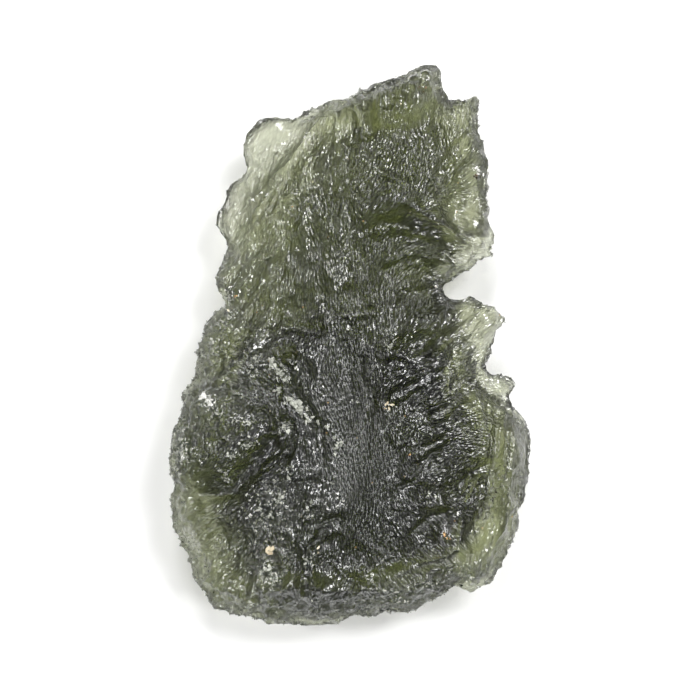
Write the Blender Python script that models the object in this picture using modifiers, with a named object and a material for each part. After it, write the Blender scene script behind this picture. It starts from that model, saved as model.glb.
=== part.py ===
"""A moldavite: one flat, ragged drop of green natural glass, lying on its underside.

The stone is one solid. Its outline is drawn as a flat curve and made a slab, the slab is
remeshed, and its skin is then lifted into a lens that is thin at the rim and thick in the
middle, with the larger valleys and bosses of its corroded upper side. The lowest bulges
underneath are worn flat to one plane, and the stone rests on them.

Values are in millimetres until the last step, which turns the mesh into metres.
+X runs across the stone, +Y along it towards its narrow tip, +Z up.
"""

from dataclasses import dataclass

import bmesh
import bpy
import numpy as np

NAME = "moldavite"
MILLIMETRE = 0.001

# Driving dimensions, in millimetres.
SHARP_RIM = 0.6            # thickness of the rim where it runs out thin
BLUNT_RIM = 2.6            # thickness of the rim where it ends in a rounded wall
SHARP_SWELL = 4.2          # distance from a thin rim over which most of the swelling happens
BLUNT_SWELL = 2.4          # the same behind a blunt rim
FRONT_RISE = 4.1           # how far the upper side swells above the rim
BACK_RISE = 3.2            # how far the underside swells below it
MIN_THICKNESS = 0.55       # the thinnest that a flake gets
RELIEF_MARGIN = 1.2        # distance from the rim at which relief reaches its full depth
REST_DEPTH = 3.95          # the resting plane, below the rim's level
SLAB_THICKNESS = 1.2       # the slab that the skin is lifted from
VOXEL = 0.34               # size of the remesh grid
SMOOTHING_ROUNDS = 3
WEAR_REACH = 0.03          # points this near the resting plane are worn to it
WELD = 0.0001              # corners of the slab's walls that are merged
TRIANGLES = 9400           # faces left after the skin is thinned

# The outline, clockwise from the thin flake at the upper left.
FLAKE_EDGE = (
    (-7.6, 13.2), (-7.6, 13.8), (-7.3, 14.8), (-6.8, 15.4), (-6.3, 16.1), (-5.7, 16.2),
    (-4.6, 16.3), (-4.1, 15.8), (-3.6, 15.8),
)
TOP_EDGE = (
    (-3.2, 16.7), (-2.1, 16.8), (-1.2, 17.3), (0.2, 17.4), (0.4, 17.9), (1.4, 18.3),
    (2.9, 18.7), (3.5, 19.1), (4.1, 19.2), (4.8, 19.6), (5.7, 20.0), (6.1, 19.9),
)
TIP_EDGE = (
    (6.3, 19.4), (6.5, 18.2), (6.8, 17.5), (7.3, 17.2), (8.0, 17.4), (8.6, 17.7),
    (9.0, 17.7), (9.3, 17.3),
)
UPPER_RIGHT_EDGE = (
    (9.1, 16.7), (9.2, 14.9), (9.6, 14.3), (9.7, 13.1), (9.9, 11.8), (9.8, 10.4),
    (10.0, 9.0), (10.3, 7.9), (10.3, 7.3), (10.0, 6.8), (10.3, 6.5), (10.1, 6.1),
)
NOTCH_EDGE = (
    (9.2, 6.1), (8.8, 5.6), (8.3, 5.2), (7.5, 4.6), (6.9, 4.4), (6.4, 4.0), (6.9, 3.6),
    (7.2, 3.4),
)
UPPER_TOOTH_EDGE = (
    (8.5, 3.4), (9.2, 3.2), (10.4, 2.5), (11.4, 1.9), (10.8, 1.5), (10.3, 1.2),
    (10.4, 0.5), (10.0, 0.1), (9.9, -0.2), (10.6, -0.4), (10.1, -0.8), (9.6, -1.1),
    (9.4, -1.7),
)
LOWER_TOOTH_EDGE = (
    (10.3, -1.9), (10.9, -2.1), (11.2, -2.3), (11.8, -2.3), (12.1, -2.7), (11.7, -3.1),
    (11.1, -3.4), (11.2, -3.9), (11.4, -4.2),
)
RIGHT_LOBE_EDGE = (
    (11.7, -4.5), (12.1, -4.5), (12.6, -5.5), (12.9, -6.2), (12.8, -6.6), (13.0, -7.2),
    (13.0, -7.7), (12.8, -8.7), (12.7, -9.3), (12.4, -9.9), (12.4, -10.7), (12.0, -11.6),
)
LOWER_RIGHT_EDGE = (
    (12.0, -12.1), (12.2, -12.9), (11.8, -13.7), (11.3, -14.5), (10.9, -15.0),
    (10.6, -15.8), (10.2, -16.6), (9.8, -16.9),
)
BOTTOM_RIGHT_EDGE = (
    (9.2, -17.0), (8.6, -17.4), (8.2, -17.2), (7.8, -16.7), (7.3, -16.9), (7.0, -17.4),
    (6.3, -17.9), (5.2, -17.9), (4.7, -18.7), (4.3, -18.9), (3.7, -19.0), (3.3, -18.8),
    (2.5, -18.9), (2.1, -19.3), (1.5, -19.1), (0.7, -19.2),
)
BOTTOM_EDGE = (
    (-0.1, -19.5), (-1.6, -20.0), (-2.7, -20.0), (-3.4, -19.8), (-5.7, -19.8),
    (-7.3, -19.3), (-8.0, -19.0), (-8.7, -19.0), (-9.4, -18.8), (-9.8, -18.5),
)
LOWER_LEFT_EDGE = (
    (-10.1, -17.8), (-10.8, -16.7), (-11.1, -16.4), (-11.0, -16.1), (-11.4, -15.0),
    (-11.3, -14.6), (-11.8, -14.3), (-12.4, -13.1), (-12.8, -11.7), (-12.9, -11.2),
)
LEFT_EDGE = (
    (-12.4, -10.2), (-12.4, -9.8), (-12.7, -9.3), (-12.8, -8.2), (-12.6, -6.3),
    (-12.3, -5.7), (-12.1, -4.8), (-11.8, -4.7), (-11.8, -3.6), (-11.1, -2.9),
    (-11.2, -2.5), (-10.7, -1.9), (-10.8, -1.4), (-10.7, -0.9), (-10.7, 0.2),
    (-10.2, 1.5), (-9.5, 2.4),
)
SPUR_EDGE = (
    (-8.9, 2.5), (-8.4, 2.7), (-8.7, 3.3), (-9.2, 4.0), (-9.7, 4.5), (-9.5, 5.1),
    (-8.8, 6.1), (-8.4, 6.6),
)
LOBE_EDGE = (
    (-8.6, 7.1), (-9.3, 7.8), (-9.5, 8.5), (-9.4, 9.4), (-8.7, 10.5), (-8.9, 11.1),
    (-8.5, 11.4), (-7.8, 11.6), (-7.6, 12.1), (-7.2, 12.6),
)
OUTLINE = (
    FLAKE_EDGE + TOP_EDGE + TIP_EDGE + UPPER_RIGHT_EDGE + NOTCH_EDGE + UPPER_TOOTH_EDGE
    + LOWER_TOOTH_EDGE + RIGHT_LOBE_EDGE + LOWER_RIGHT_EDGE + BOTTOM_RIGHT_EDGE
    + BOTTOM_EDGE + LOWER_LEFT_EDGE + LEFT_EDGE + SPUR_EDGE + LOBE_EDGE
)


@dataclass(frozen=True)
class Patch:
    """A round-ended region: its middle, its half-sizes along and across, and its turn."""

    x: float
    y: float
    along: float
    across: float
    turn: float      # degrees from +X to the region's length
    amount: float

    def weight(self, points):
        """1 in the middle of the region, one half on its border, 0 far away."""
        angle = np.radians(self.turn)
        dx = points[:, 0] - self.x
        dy = points[:, 1] - self.y
        u = (dx * np.cos(angle) + dy * np.sin(angle)) / self.along
        v = (dy * np.cos(angle) - dx * np.sin(angle)) / self.across
        return 1.0 / (1.0 + (u * u + v * v) ** 2)


@dataclass(frozen=True)
class Crease:
    """A valley along a route of points. A negative depth makes it a ridge."""

    route: tuple
    width: float
    depth: float

    def cut(self, points):
        distance = distance_to_route(points, self.route)
        return self.depth * np.exp(-((distance / self.width) ** 2))


# Share of the swelling that is taken away where the glass is thin.
THIN_REGIONS = (
    Patch(-5.9, 14.6, 2.5, 1.9, 60, 0.92),      # thin flake, upper left
    Patch(-8.3, 9.4, 1.9, 1.5, 70, 0.80),       # thin lobe below it
    Patch(-8.6, 5.0, 1.2, 1.2, 0, 0.45),        # spur
    Patch(-3.5, 8.6, 6.0, 2.6, 75, 0.30),       # clear stretch of the upper body
    Patch(4.8, 18.4, 3.4, 1.6, 25, 0.30),       # tip
    Patch(8.9, 12.0, 6.6, 1.9, 92, 0.62),       # upper right flank
    Patch(7.6, 6.0, 2.4, 1.6, 30, 0.45),        # edge above the notch
    Patch(9.5, 1.0, 2.1, 1.9, 0, 0.80),         # upper tooth
    Patch(10.6, -2.8, 1.5, 1.1, 0, 0.75),       # lower tooth
    Patch(12.2, -8.0, 4.2, 1.2, 85, 0.45),      # right lobe's rim
    Patch(9.6, -13.4, 2.6, 0.9, 80, 0.50),      # clear strip inside the right lobe
    Patch(-10.6, -14.2, 3.6, 2.3, 125, 0.35),   # lower left corner
    Patch(-2.6, -19.0, 7.5, 1.0, 0, 0.40),      # bottom lip
)

# Where the rim ends in a blunt, rounded wall: 1 is fully blunt.
BLUNT_EDGES = (
    Patch(-10.9, -3.6, 7.0, 2.6, 80, 0.95),     # frosted block on the left
    Patch(-12.6, -11.0, 2.6, 1.6, 90, 0.45),
    Patch(-2.0, -19.6, 9.0, 1.6, 0, 0.50),      # bottom lip
    Patch(5.2, -18.4, 3.4, 1.8, 15, 0.75),
    Patch(12.6, -8.6, 3.8, 1.8, 90, 0.60),      # right lobe
    Patch(1.0, 17.8, 3.6, 1.5, 15, 0.60),       # top edge
    Patch(5.6, 19.2, 1.6, 1.2, 20, 0.55),
    Patch(-9.0, 5.0, 1.4, 1.2, 90, 0.50),       # spur
)

# How far a region stands above or below the rim's general level.
LIFTS = (
    Patch(-11.4, -3.0, 4.0, 2.6, 85, 0.55),
    Patch(-12.0, -12.0, 3.4, 2.6, 100, -0.55),
    Patch(6.4, -17.6, 3.6, 2.2, 25, 0.50),
    Patch(0.6, 17.6, 3.0, 1.8, 15, -0.40),
    Patch(-5.9, 14.6, 3.2, 2.6, 60, 0.35),
    Patch(-8.6, 9.0, 2.4, 2.0, 70, -0.35),
    Patch(5.0, 18.5, 3.4, 2.4, 25, 0.45),
    Patch(9.4, 10.5, 5.0, 2.4, 90, -0.30),
    Patch(9.8, 1.0, 2.6, 2.4, 0, 0.25),
    Patch(12.2, -9.0, 6.0, 2.0, 85, -0.60),
    Patch(-11.6, -8.5, 6.0, 2.2, 90, -0.35),
    Patch(-2.0, -19.2, 9.5, 1.5, 0, -0.80),
)

# Bosses and hollows of the upper side, in millimetres of height.
BOSSES = (
    Patch(4.9, 2.1, 1.7, 1.5, 20, 0.75),        # round boss left of the teeth
    Patch(-6.3, -2.6, 3.2, 2.6, 40, 0.55),      # frosted block on the left
    Patch(-8.6, -5.4, 2.4, 1.8, 110, 0.35),
    Patch(2.2, 10.4, 4.6, 1.9, 80, 0.40),       # spine of the upper body
    Patch(-1.6, -8.6, 5.2, 2.4, 95, 0.45),      # spine of the lower body
    Patch(4.6, -9.4, 3.0, 1.6, 60, 0.30),
    Patch(8.4, 9.5, 0.9, 0.7, 90, -0.25),       # smooth bowls of the right flank
    Patch(7.3, 9.2, 0.7, 0.7, 0, -0.20),
    Patch(-2.6, -15.8, 2.6, 0.9, 85, 0.30),     # ribs that run down to the bottom lip
    Patch(-6.0, -15.0, 2.4, 1.0, 75, 0.25),
    Patch(11.3, -7.4, 3.4, 0.8, 88, 0.35),      # layered ridges of the right lobe
)

CREASES = (
    Crease(((2.1, 7.9), (4.6, 8.8), (7.1, 8.4)), 0.75, 0.75),          # dark valley, upper body
    Crease(((-1.8, 16.0), (-4.3, 12.4), (-5.9, 9.2), (-6.3, 7.2)), 0.45, 0.45),
    Crease(((0.8, 17.8), (1.8, 14.6)), 0.55, 0.35),
    Crease(((-4.1, 9.6), (-4.6, 4.6)), 0.60, 0.35),
    Crease(((2.4, -0.6), (4.3, 0.0), (6.3, 0.5), (8.4, 1.0)), 0.60, 0.75),
    Crease(((2.6, -3.8), (5.8, -1.4), (8.4, 0.2)), 0.60, 0.50),
    Crease(((3.6, -4.7), (7.0, -3.4), (9.8, -2.4)), 0.60, 0.55),
    Crease(((4.8, -7.4), (7.3, -5.8)), 0.50, 0.40),
    Crease(((7.2, -9.6), (9.6, -8.2)), 0.55, 0.50),
    Crease(((-4.2, -6.2), (-8.2, -9.7), (-11.4, -10.9)), 0.85, 0.85),  # smooth olive valley
    Crease(((-4.3, -0.9), (-4.2, -3.4), (-2.4, -5.4), (-2.0, -7.6)), 0.60, 0.55),
    Crease(((10.4, -6.6), (10.6, -10.0), (9.8, -13.8)), 0.55, 0.45),   # smooth facet, right lobe
    Crease(((12.0, -11.0), (10.4, -14.0)), 0.40, 0.35),
    Crease(((6.4, -13.6), (7.2, -11.0), (8.4, -9.9)), 0.55, 0.40),
    Crease(((-9.2, -18.0), (-4.6, -18.2), (0.0, -17.8), (4.0, -17.4), (7.6, -16.0)), 0.45, 0.40),
    Crease(((-3.6, -14.0), (-3.4, -17.6)), 0.50, 0.35),
    Crease(((-1.0, -14.4), (-2.2, -17.6)), 0.50, 0.35),
)

# Valleys of the hidden underside.
BACK_CREASES = (
    Crease(((-3.0, 14.0), (1.0, 9.0), (6.6, 7.0)), 0.9, 0.6),
    Crease(((-8.0, 3.0), (-2.0, 2.6), (4.0, -1.0)), 0.8, 0.6),
    Crease(((-10.0, -5.6), (-4.0, -8.2), (2.0, -8.4), (8.6, -5.4)), 0.9, 0.6),
    Crease(((0.6, -17.0), (1.8, -12.6)), 0.8, 0.5),
)


# Bulges of the underside. Those that pass the resting plane are worn flat there.
BACK_BOSSES = (
    Patch(2.6, 12.4, 3.3, 1.9, 62, 1.70),
    Patch(-3.6, 4.6, 2.6, 1.8, 20, 1.75),
    Patch(-6.2, -11.4, 3.4, 2.2, 118, 1.55),
    Patch(5.4, -10.4, 3.9, 2.3, 52, 1.45),
    Patch(-0.6, -2.2, 2.6, 1.7, 150, 0.35),
    Patch(6.2, 2.2, 2.0, 1.5, 95, 0.60),
    Patch(-7.8, -3.0, 2.6, 1.8, 60, 0.45),
    Patch(0.2, -15.6, 2.6, 1.5, 10, 0.40),
    Patch(-4.2, 11.4, 2.4, 1.3, 70, 0.50),
)


def clear_scene():
    """Remove every object of the scene."""
    for item in list(bpy.data.objects):
        bpy.data.objects.remove(item, do_unlink=True)


def distance_to_route(points, route, closed=False):
    """Distance in the plane from each point to a line through the route's points."""
    corners = np.array(route, dtype=float)
    ends = np.roll(corners, -1, axis=0) if closed else corners[1:]
    starts = corners if closed else corners[:-1]
    nearest = np.full(len(points), np.inf)
    for start, end in zip(starts, ends):
        run = end - start
        share = np.clip((points[:, :2] - start) @ run / (run @ run), 0.0, 1.0)
        gap = points[:, :2] - (start + share[:, None] * run)
        nearest = np.minimum(nearest, np.hypot(gap[:, 0], gap[:, 1]))
    return nearest


def mesh_points(mesh):
    """The mesh's vertices as an array of rows."""
    points = np.empty(len(mesh.vertices) * 3)
    mesh.vertices.foreach_get("co", points)
    return points.reshape(-1, 3)


def set_mesh_points(mesh, points):
    """Move the mesh's vertices to the array's rows."""
    mesh.vertices.foreach_set("co", points.ravel())
    mesh.update()


def baked(item):
    """A new mesh of the object as its modifiers leave it."""
    bpy.context.view_layer.update()
    graph = bpy.context.evaluated_depsgraph_get()
    return bpy.data.meshes.new_from_object(item.evaluated_get(graph))


def outline_slab():
    """The flat slab inside the outline, as a closed mesh."""
    curve = bpy.data.curves.new("outline", "CURVE")
    curve.dimensions = "2D"
    curve.fill_mode = "BOTH"
    curve.extrude = SLAB_THICKNESS / 2
    spline = curve.splines.new("POLY")
    spline.points.add(len(OUTLINE) - 1)
    spline.use_cyclic_u = True
    for point, (x, y) in zip(spline.points, OUTLINE):
        point.co = (x, y, 0.0, 1.0)
    guide = bpy.data.objects.new("outline", curve)
    bpy.context.scene.collection.objects.link(guide)
    mesh = baked(guide)
    bpy.data.objects.remove(guide, do_unlink=True)
    work = bmesh.new()
    work.from_mesh(mesh)
    bmesh.ops.remove_doubles(work, verts=work.verts, dist=WELD)
    bmesh.ops.recalc_face_normals(work, faces=work.faces)
    work.to_mesh(mesh)
    work.free()
    return mesh


def modified(mesh, kind, **settings):
    """The mesh after one modifier."""
    item = bpy.data.objects.new("work", mesh)
    bpy.context.scene.collection.objects.link(item)
    modifier = item.modifiers.new("step", kind)
    for key, value in settings.items():
        setattr(modifier, key, value)
    result = baked(item)
    bpy.data.objects.remove(item, do_unlink=True)
    return result


def kept_share(points):
    """How much of the full swelling a place keeps, from 0 to 1."""
    share = np.ones(len(points))
    for region in THIN_REGIONS:
        share *= 1.0 - region.amount * region.weight(points)
    return share


def total(regions, points):
    """The sum of the regions' amounts at each point."""
    return sum(region.amount * region.weight(points) for region in regions)


def shaped(points):
    """Lift the flat slab's points into the stone's skin."""
    inside = distance_to_route(points, OUTLINE, closed=True)
    share = kept_share(points)
    blunt = np.clip(total(BLUNT_EDGES, points), 0.0, 1.0)
    half_rim = (SHARP_RIM + (BLUNT_RIM - SHARP_RIM) * blunt * share) / 2
    swell_distance = SHARP_SWELL + (BLUNT_SWELL - SHARP_SWELL) * blunt
    swell = (1.0 - np.exp(-inside / swell_distance)) * share

    # Relief dies out at the rim and on thin glass, where there is no depth for it.
    room = np.clip(inside / RELIEF_MARGIN, 0.0, 1.0) * share
    relief = total(BOSSES, points) - sum(crease.cut(points) for crease in CREASES)
    pits = total(BACK_BOSSES, points) - sum(crease.cut(points) for crease in BACK_CREASES)
    front = half_rim + FRONT_RISE * swell + relief * room
    back = half_rim + BACK_RISE * swell + pits * room
    front = np.maximum(front, MIN_THICKNESS / 2)
    back = np.maximum(back, MIN_THICKNESS / 2)

    side = points[:, 2] / (SLAB_THICKNESS / 2)
    lifted = points.copy()
    lifted[:, 2] = total(LIFTS, points) + np.where(side > 0, side * front, side * back)
    return lifted


def smooth(mesh, rounds):
    """Round the skin a little, keeping its topology."""
    work = bmesh.new()
    work.from_mesh(mesh)
    for _ in range(rounds):
        bmesh.ops.smooth_vert(
            work, verts=work.verts, factor=0.5,
            use_axis_x=True, use_axis_y=True, use_axis_z=True,
        )
    work.to_mesh(mesh)
    work.free()


def wear_flat(mesh, reach):
    """Bring every point that comes within reach of the resting plane onto it."""
    points = mesh_points(mesh)
    touching = points[:, 2] < -REST_DEPTH + reach
    points[touching, 2] = -REST_DEPTH
    set_mesh_points(mesh, points)


def stone_mesh():
    """The stone's closed skin, in millimetres."""
    skin = modified(outline_slab(), "REMESH", mode="VOXEL", voxel_size=VOXEL)
    set_mesh_points(skin, shaped(mesh_points(skin)))
    smooth(skin, SMOOTHING_ROUNDS)
    wear_flat(skin, 0.0)
    skin.calc_loop_triangles()
    ratio = TRIANGLES / len(skin.loop_triangles)
    thinned = modified(skin, "DECIMATE", decimate_type="COLLAPSE", ratio=ratio)
    wear_flat(thinned, WEAR_REACH)
    return thinned


def settled(mesh):
    """Centre the stone over the origin, stand it on z = 0 and turn it into metres."""
    points = mesh_points(mesh)
    low = points.min(axis=0)
    high = points.max(axis=0)
    centre = (low + high) / 2
    points -= (centre[0], centre[1], low[2])
    set_mesh_points(mesh, points * MILLIMETRE)


def moldavite_glass():
    """Bottle-green natural glass with an etched, matt skin."""
    material = bpy.data.materials.new("moldavite_glass")
    material.use_nodes = True
    shader = material.node_tree.nodes["Principled BSDF"]
    shader.inputs["Base Color"].default_value = (0.16, 0.18, 0.10, 1.0)
    shader.inputs["Roughness"].default_value = 0.28
    shader.inputs["Metallic"].default_value = 0.0
    shader.inputs["IOR"].default_value = 1.49
    shader.inputs["Transmission Weight"].default_value = 0.6
    return material


def main():
    clear_scene()
    mesh = stone_mesh()
    settled(mesh)
    mesh.name = NAME
    mesh.materials.clear()
    mesh.materials.append(moldavite_glass())
    mesh.shade_smooth()
    stone = bpy.data.objects.new(NAME, mesh)
    collection = bpy.data.collections.new(NAME)
    bpy.context.scene.collection.children.link(collection)
    collection.objects.link(stone)


main()
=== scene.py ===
"""The looks of a moldavite: the etched glass skin, the dirt in its pits, and a plain studio.

The stone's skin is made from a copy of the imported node. It is remeshed, its upper side is
given a finer mesh, and the etching is then cut into it in three scales of pits that follow
the way the glass flowed. The forms, the skin and the bits are in millimetres and are turned
into metres when they are finished. The studio is in metres.
"""

import logging
import math
from collections.abc import Callable
from dataclasses import dataclass, field, replace
from enum import Enum
from itertools import product
from typing import TypeVar

import bmesh
import bpy
import numpy as np
from mathutils import Matrix, Vector, noise
from mathutils.kdtree import KDTree


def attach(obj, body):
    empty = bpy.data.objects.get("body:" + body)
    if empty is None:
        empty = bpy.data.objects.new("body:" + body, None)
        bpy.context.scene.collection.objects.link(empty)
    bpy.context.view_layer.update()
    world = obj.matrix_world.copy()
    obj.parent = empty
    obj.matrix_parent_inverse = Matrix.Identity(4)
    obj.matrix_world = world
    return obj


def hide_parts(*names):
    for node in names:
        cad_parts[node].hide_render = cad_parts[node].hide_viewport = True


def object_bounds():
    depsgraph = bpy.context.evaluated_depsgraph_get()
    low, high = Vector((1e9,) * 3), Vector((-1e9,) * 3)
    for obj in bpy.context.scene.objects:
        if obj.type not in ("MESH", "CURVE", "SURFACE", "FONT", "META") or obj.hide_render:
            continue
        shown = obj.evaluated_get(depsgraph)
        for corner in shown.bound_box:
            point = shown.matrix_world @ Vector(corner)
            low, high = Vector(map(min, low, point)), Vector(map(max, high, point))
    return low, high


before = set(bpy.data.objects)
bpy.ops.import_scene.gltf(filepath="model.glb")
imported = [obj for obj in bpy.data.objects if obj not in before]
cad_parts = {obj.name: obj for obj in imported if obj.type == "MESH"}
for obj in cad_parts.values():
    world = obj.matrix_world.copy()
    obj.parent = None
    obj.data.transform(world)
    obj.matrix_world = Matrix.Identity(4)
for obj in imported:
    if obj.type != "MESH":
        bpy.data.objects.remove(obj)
CAD_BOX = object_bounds()

LOG = logging.getLogger("moldavite")
NODE = "moldavite"
BODY = "root"
FLOW_MAP = "grain_flow"
METRES = 0.001             # metres in one of this file's millimetres
TINY = 1e-9                # keeps a division by a length from failing

Rows = np.ndarray          # one number or row of numbers a point
Mesh = bpy.types.Mesh
Tree = bpy.types.NodeTree
Socket = bpy.types.NodeSocket
Colour = tuple[float, float, float, float]
Ends = tuple[float, float]
Inputs = dict[str | int, object]    # a node's inputs, each with a value or a socket to join


# ------------------------------------------------------------------ shapes on the stone

Kind = TypeVar("Kind")


def each(kind: Callable[..., Kind], *rows: tuple) -> tuple[Kind, ...]:
    """One of a kind for each row of its fields."""
    return tuple(kind(*row) for row in rows)


@dataclass(frozen=True)
class Region:
    """A round-ended area of the stone, seen from above."""

    x: float
    y: float
    along: float
    across: float
    turn: float = 0.0
    amount: float = 1.0

    def weight(self, points: Rows) -> Rows:
        """How much of the region each point has.

        Args:
            points: rows of x, y, z.

        Returns:
            1 in the middle, one half on the border and 0 far away.
        """
        angle = math.radians(self.turn)
        dx = points[:, 0] - self.x
        dy = points[:, 1] - self.y
        u = (dx * math.cos(angle) + dy * math.sin(angle)) / self.along
        v = (dy * math.cos(angle) - dx * math.sin(angle)) / self.across
        return 1.0 / (1.0 + (u * u + v * v) ** 2)


@dataclass(frozen=True)
class Furrow:
    """A line-shaped form: a valley, or a ridge where its height is positive."""

    route: tuple[tuple[float, float], ...]
    width: float
    height: float
    bare: float = 0.0        # the share of the etching that its floor has lost

    def share(self, points: Rows) -> Rows:
        """How much of the furrow each point has: 1 on its line, fading to 0.

        Args:
            points: rows of x, y, z.

        Returns:
            One share a point.
        """
        nearest = np.full(len(points), np.inf)
        for start, end in zip(self.route, self.route[1:]):
            begin = np.array(start)
            run = np.array(end) - begin
            along = np.clip((points[:, :2] - begin) @ run / (run @ run), 0.0, 1.0)
            gap = points[:, :2] - (begin + along[:, None] * run)
            nearest = np.minimum(nearest, np.hypot(gap[:, 0], gap[:, 1]))
        return np.exp(-((nearest / self.width) ** 2))


@dataclass(frozen=True)
class Facet:
    """A flat, shiny face where a flake has come off."""

    x: float
    y: float
    along: float
    across: float
    turn: float
    depth: float = 0.10
    faces: float = 42.0      # degrees from +X that the face looks towards
    lean: float = 0.32       # its fall over its run
    border: float = 0.35     # the region's weight where the facet begins
    fade: float = 4.0        # how fast it deepens from there
    lowest: float = 2.0      # height over which the skin is the upper side

    def share(self, points: Rows) -> Rows:
        """How much of the facet each point has, with a short fade at its border."""
        inside = Region(self.x, self.y, self.along, self.across, self.turn).weight(points)
        return np.clip((inside - self.border) * self.fade, 0.0, 1.0)

    def cut(self, points: Rows) -> Rows:
        """How deep the facet cuts at each point.

        Args:
            points: rows of x, y, z.

        Returns:
            Depths, 0 outside the facet.
        """
        share = self.share(points)
        angle = math.radians(self.faces)
        dx = points[:, 0] - self.x
        dy = points[:, 1] - self.y
        ahead = dx * math.cos(angle) + dy * math.sin(angle)
        level = np.median(points[(share > 0.5) & (points[:, 2] > self.lowest), 2])
        plane = level - self.depth - self.lean * ahead
        return (points[:, 2] - plane) * share


@dataclass(frozen=True)
class Guide:
    """A place where the glass's grain runs at a known angle."""

    x: float
    y: float
    angle: float


@dataclass
class GrainFlow:
    """The direction in which the glass flowed, from guides spread over the stone."""

    guides: tuple[Guide, ...]
    reach: float = 1.6       # how far from its place a guide is felt
    far_pull: float = 1e-9   # what is left of it far away, where no other guide reaches
    shortest: float = 0.05   # a grain that lies less than this in the skin runs level instead

    def tangents(self, points: Rows, normals: Rows) -> Rows:
        """The grain's direction in the skin at each point.

        Args:
            points: rows of x, y, z.
            normals: the skin's unit normals there.

        Returns:
            Unit vectors that lie in the skin.
        """
        cosine = np.zeros(len(points))
        sine = np.zeros(len(points))
        for guide in self.guides:
            gap2 = (points[:, 0] - guide.x) ** 2 + (points[:, 1] - guide.y) ** 2
            weight = np.exp(-gap2 / (2 * self.reach**2)) + self.far_pull / (gap2 + 1.0)
            cosine += weight * math.cos(2 * math.radians(guide.angle))
            sine += weight * math.sin(2 * math.radians(guide.angle))
        angle = 0.5 * np.arctan2(sine, cosine)
        flat = np.stack([np.cos(angle), np.sin(angle), np.zeros(len(points))], axis=1)
        lying = flat - (flat * normals).sum(axis=1)[:, None] * normals
        short = np.linalg.norm(lying, axis=1) < self.shortest
        lying[short] = np.cross(normals, (0.0, 0.0, 1.0))[short]
        return lying / np.maximum(np.linalg.norm(lying, axis=1), TINY)[:, None]


@dataclass
class PitScale:
    """One size of etch pits: how far apart, how long and how deep they are."""

    pitch: float             # across the grain
    stretch: float           # length over width
    depth: float
    seed: int
    neighbours: int = 12     # how many of the nearest pits a point is measured against
    spacings: Ends = (0.8, 1.15)      # least and most room for a pit, over the pitch
    bulks: Ends = (0.8, 1.25)         # least and most width of a pit, over the usual
    vigours: Ends = (0.35, 1.2)       # least and most depth of a pit, over the depth

    def seeds(self, points: Rows, tangents: Rows, calm: Rows) -> Rows:
        """Pick pit middles no nearer to each other than the pitch allows.

        Args:
            points: the skin's points.
            tangents: the grain's direction at each point.
            calm: 1 where pits are as long as the stretch says, 0 where they are round.

        Returns:
            The indices of the points that become pit middles.
        """
        draw = np.random.default_rng(self.seed)
        stretch = 1.0 + (self.stretch - 1.0) * calm
        spacing = self.pitch * draw.uniform(*self.spacings, len(points))
        cell = self.pitch * self.stretch
        keys = np.floor(points / cell).astype(int)
        taken: dict[tuple[int, int, int], list[int]] = {}
        chosen: list[int] = []
        around = list(product((-1, 0, 1), repeat=3))
        for index in draw.permutation(len(points)).tolist():
            a, b, c = keys[index].tolist()
            near = [n for i, j, k in around for n in taken.get((a + i, b + j, c + k), ())]
            if near:
                gap = points[near] - points[index]
                ahead = gap @ tangents[index]
                aside = (gap * gap).sum(axis=1) - ahead * ahead
                stretched = (ahead / stretch[index]) ** 2 + aside
                if stretched.min() < spacing[index] ** 2:
                    continue
            taken.setdefault((a, b, c), []).append(index)
            chosen.append(index)
        return np.array(chosen)

    def carve(self, points: Rows, normals: Rows, tangents: Rows, calm: Rows) -> tuple[Rows, Rows]:
        """Work out the pits' depth over the whole skin.

        Args:
            points: the skin's points.
            normals: unit normals at the points.
            tangents: the grain's direction at each point.
            calm: 1 where pits are long, 0 where they are round.

        Returns:
            The depth at each point, and the pit that each point is in, as the index of
            its middle in points.
        """
        middles = self.seeds(points, tangents, calm)
        tree = KDTree(len(middles))
        for number, index in enumerate(middles.tolist()):
            tree.insert(points[index], number)
        tree.balance()
        found = np.array(
            [[hit[1] for hit in tree.find_n(point, self.neighbours)] for point in points]
        )
        near = middles[found]
        gap = points[:, None, :] - points[near]
        ahead = (gap * tangents[near]).sum(axis=2)
        aside = np.maximum((gap * gap).sum(axis=2) - ahead * ahead, 0.0)
        stretch = 1.0 + (self.stretch - 1.0) * calm[near]
        draw = np.random.default_rng(self.seed + 1)
        bulk = draw.uniform(*self.bulks, len(points))
        distance = np.sqrt((ahead / stretch) ** 2 + aside) / bulk[near]
        facing = (normals[:, None, :] * normals[near]).sum(axis=2)
        distance += np.where(facing < 0.0, 10.0 * self.pitch, 0.0)
        order = np.argsort(distance, axis=1)[:, :2]
        rows = np.arange(len(points))
        first = distance[rows, order[:, 0]]
        second = distance[rows, order[:, 1]]
        owner = near[rows, order[:, 0]]
        border = np.clip(2.0 * first / (first + second + TINY), 0.0, 1.0)
        vigour = draw.uniform(*self.vigours, len(points))
        return self.depth * vigour[owner] * (1.0 - border**2), owner


# ------------------------------------------------------------------ the stone's own forms

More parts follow.
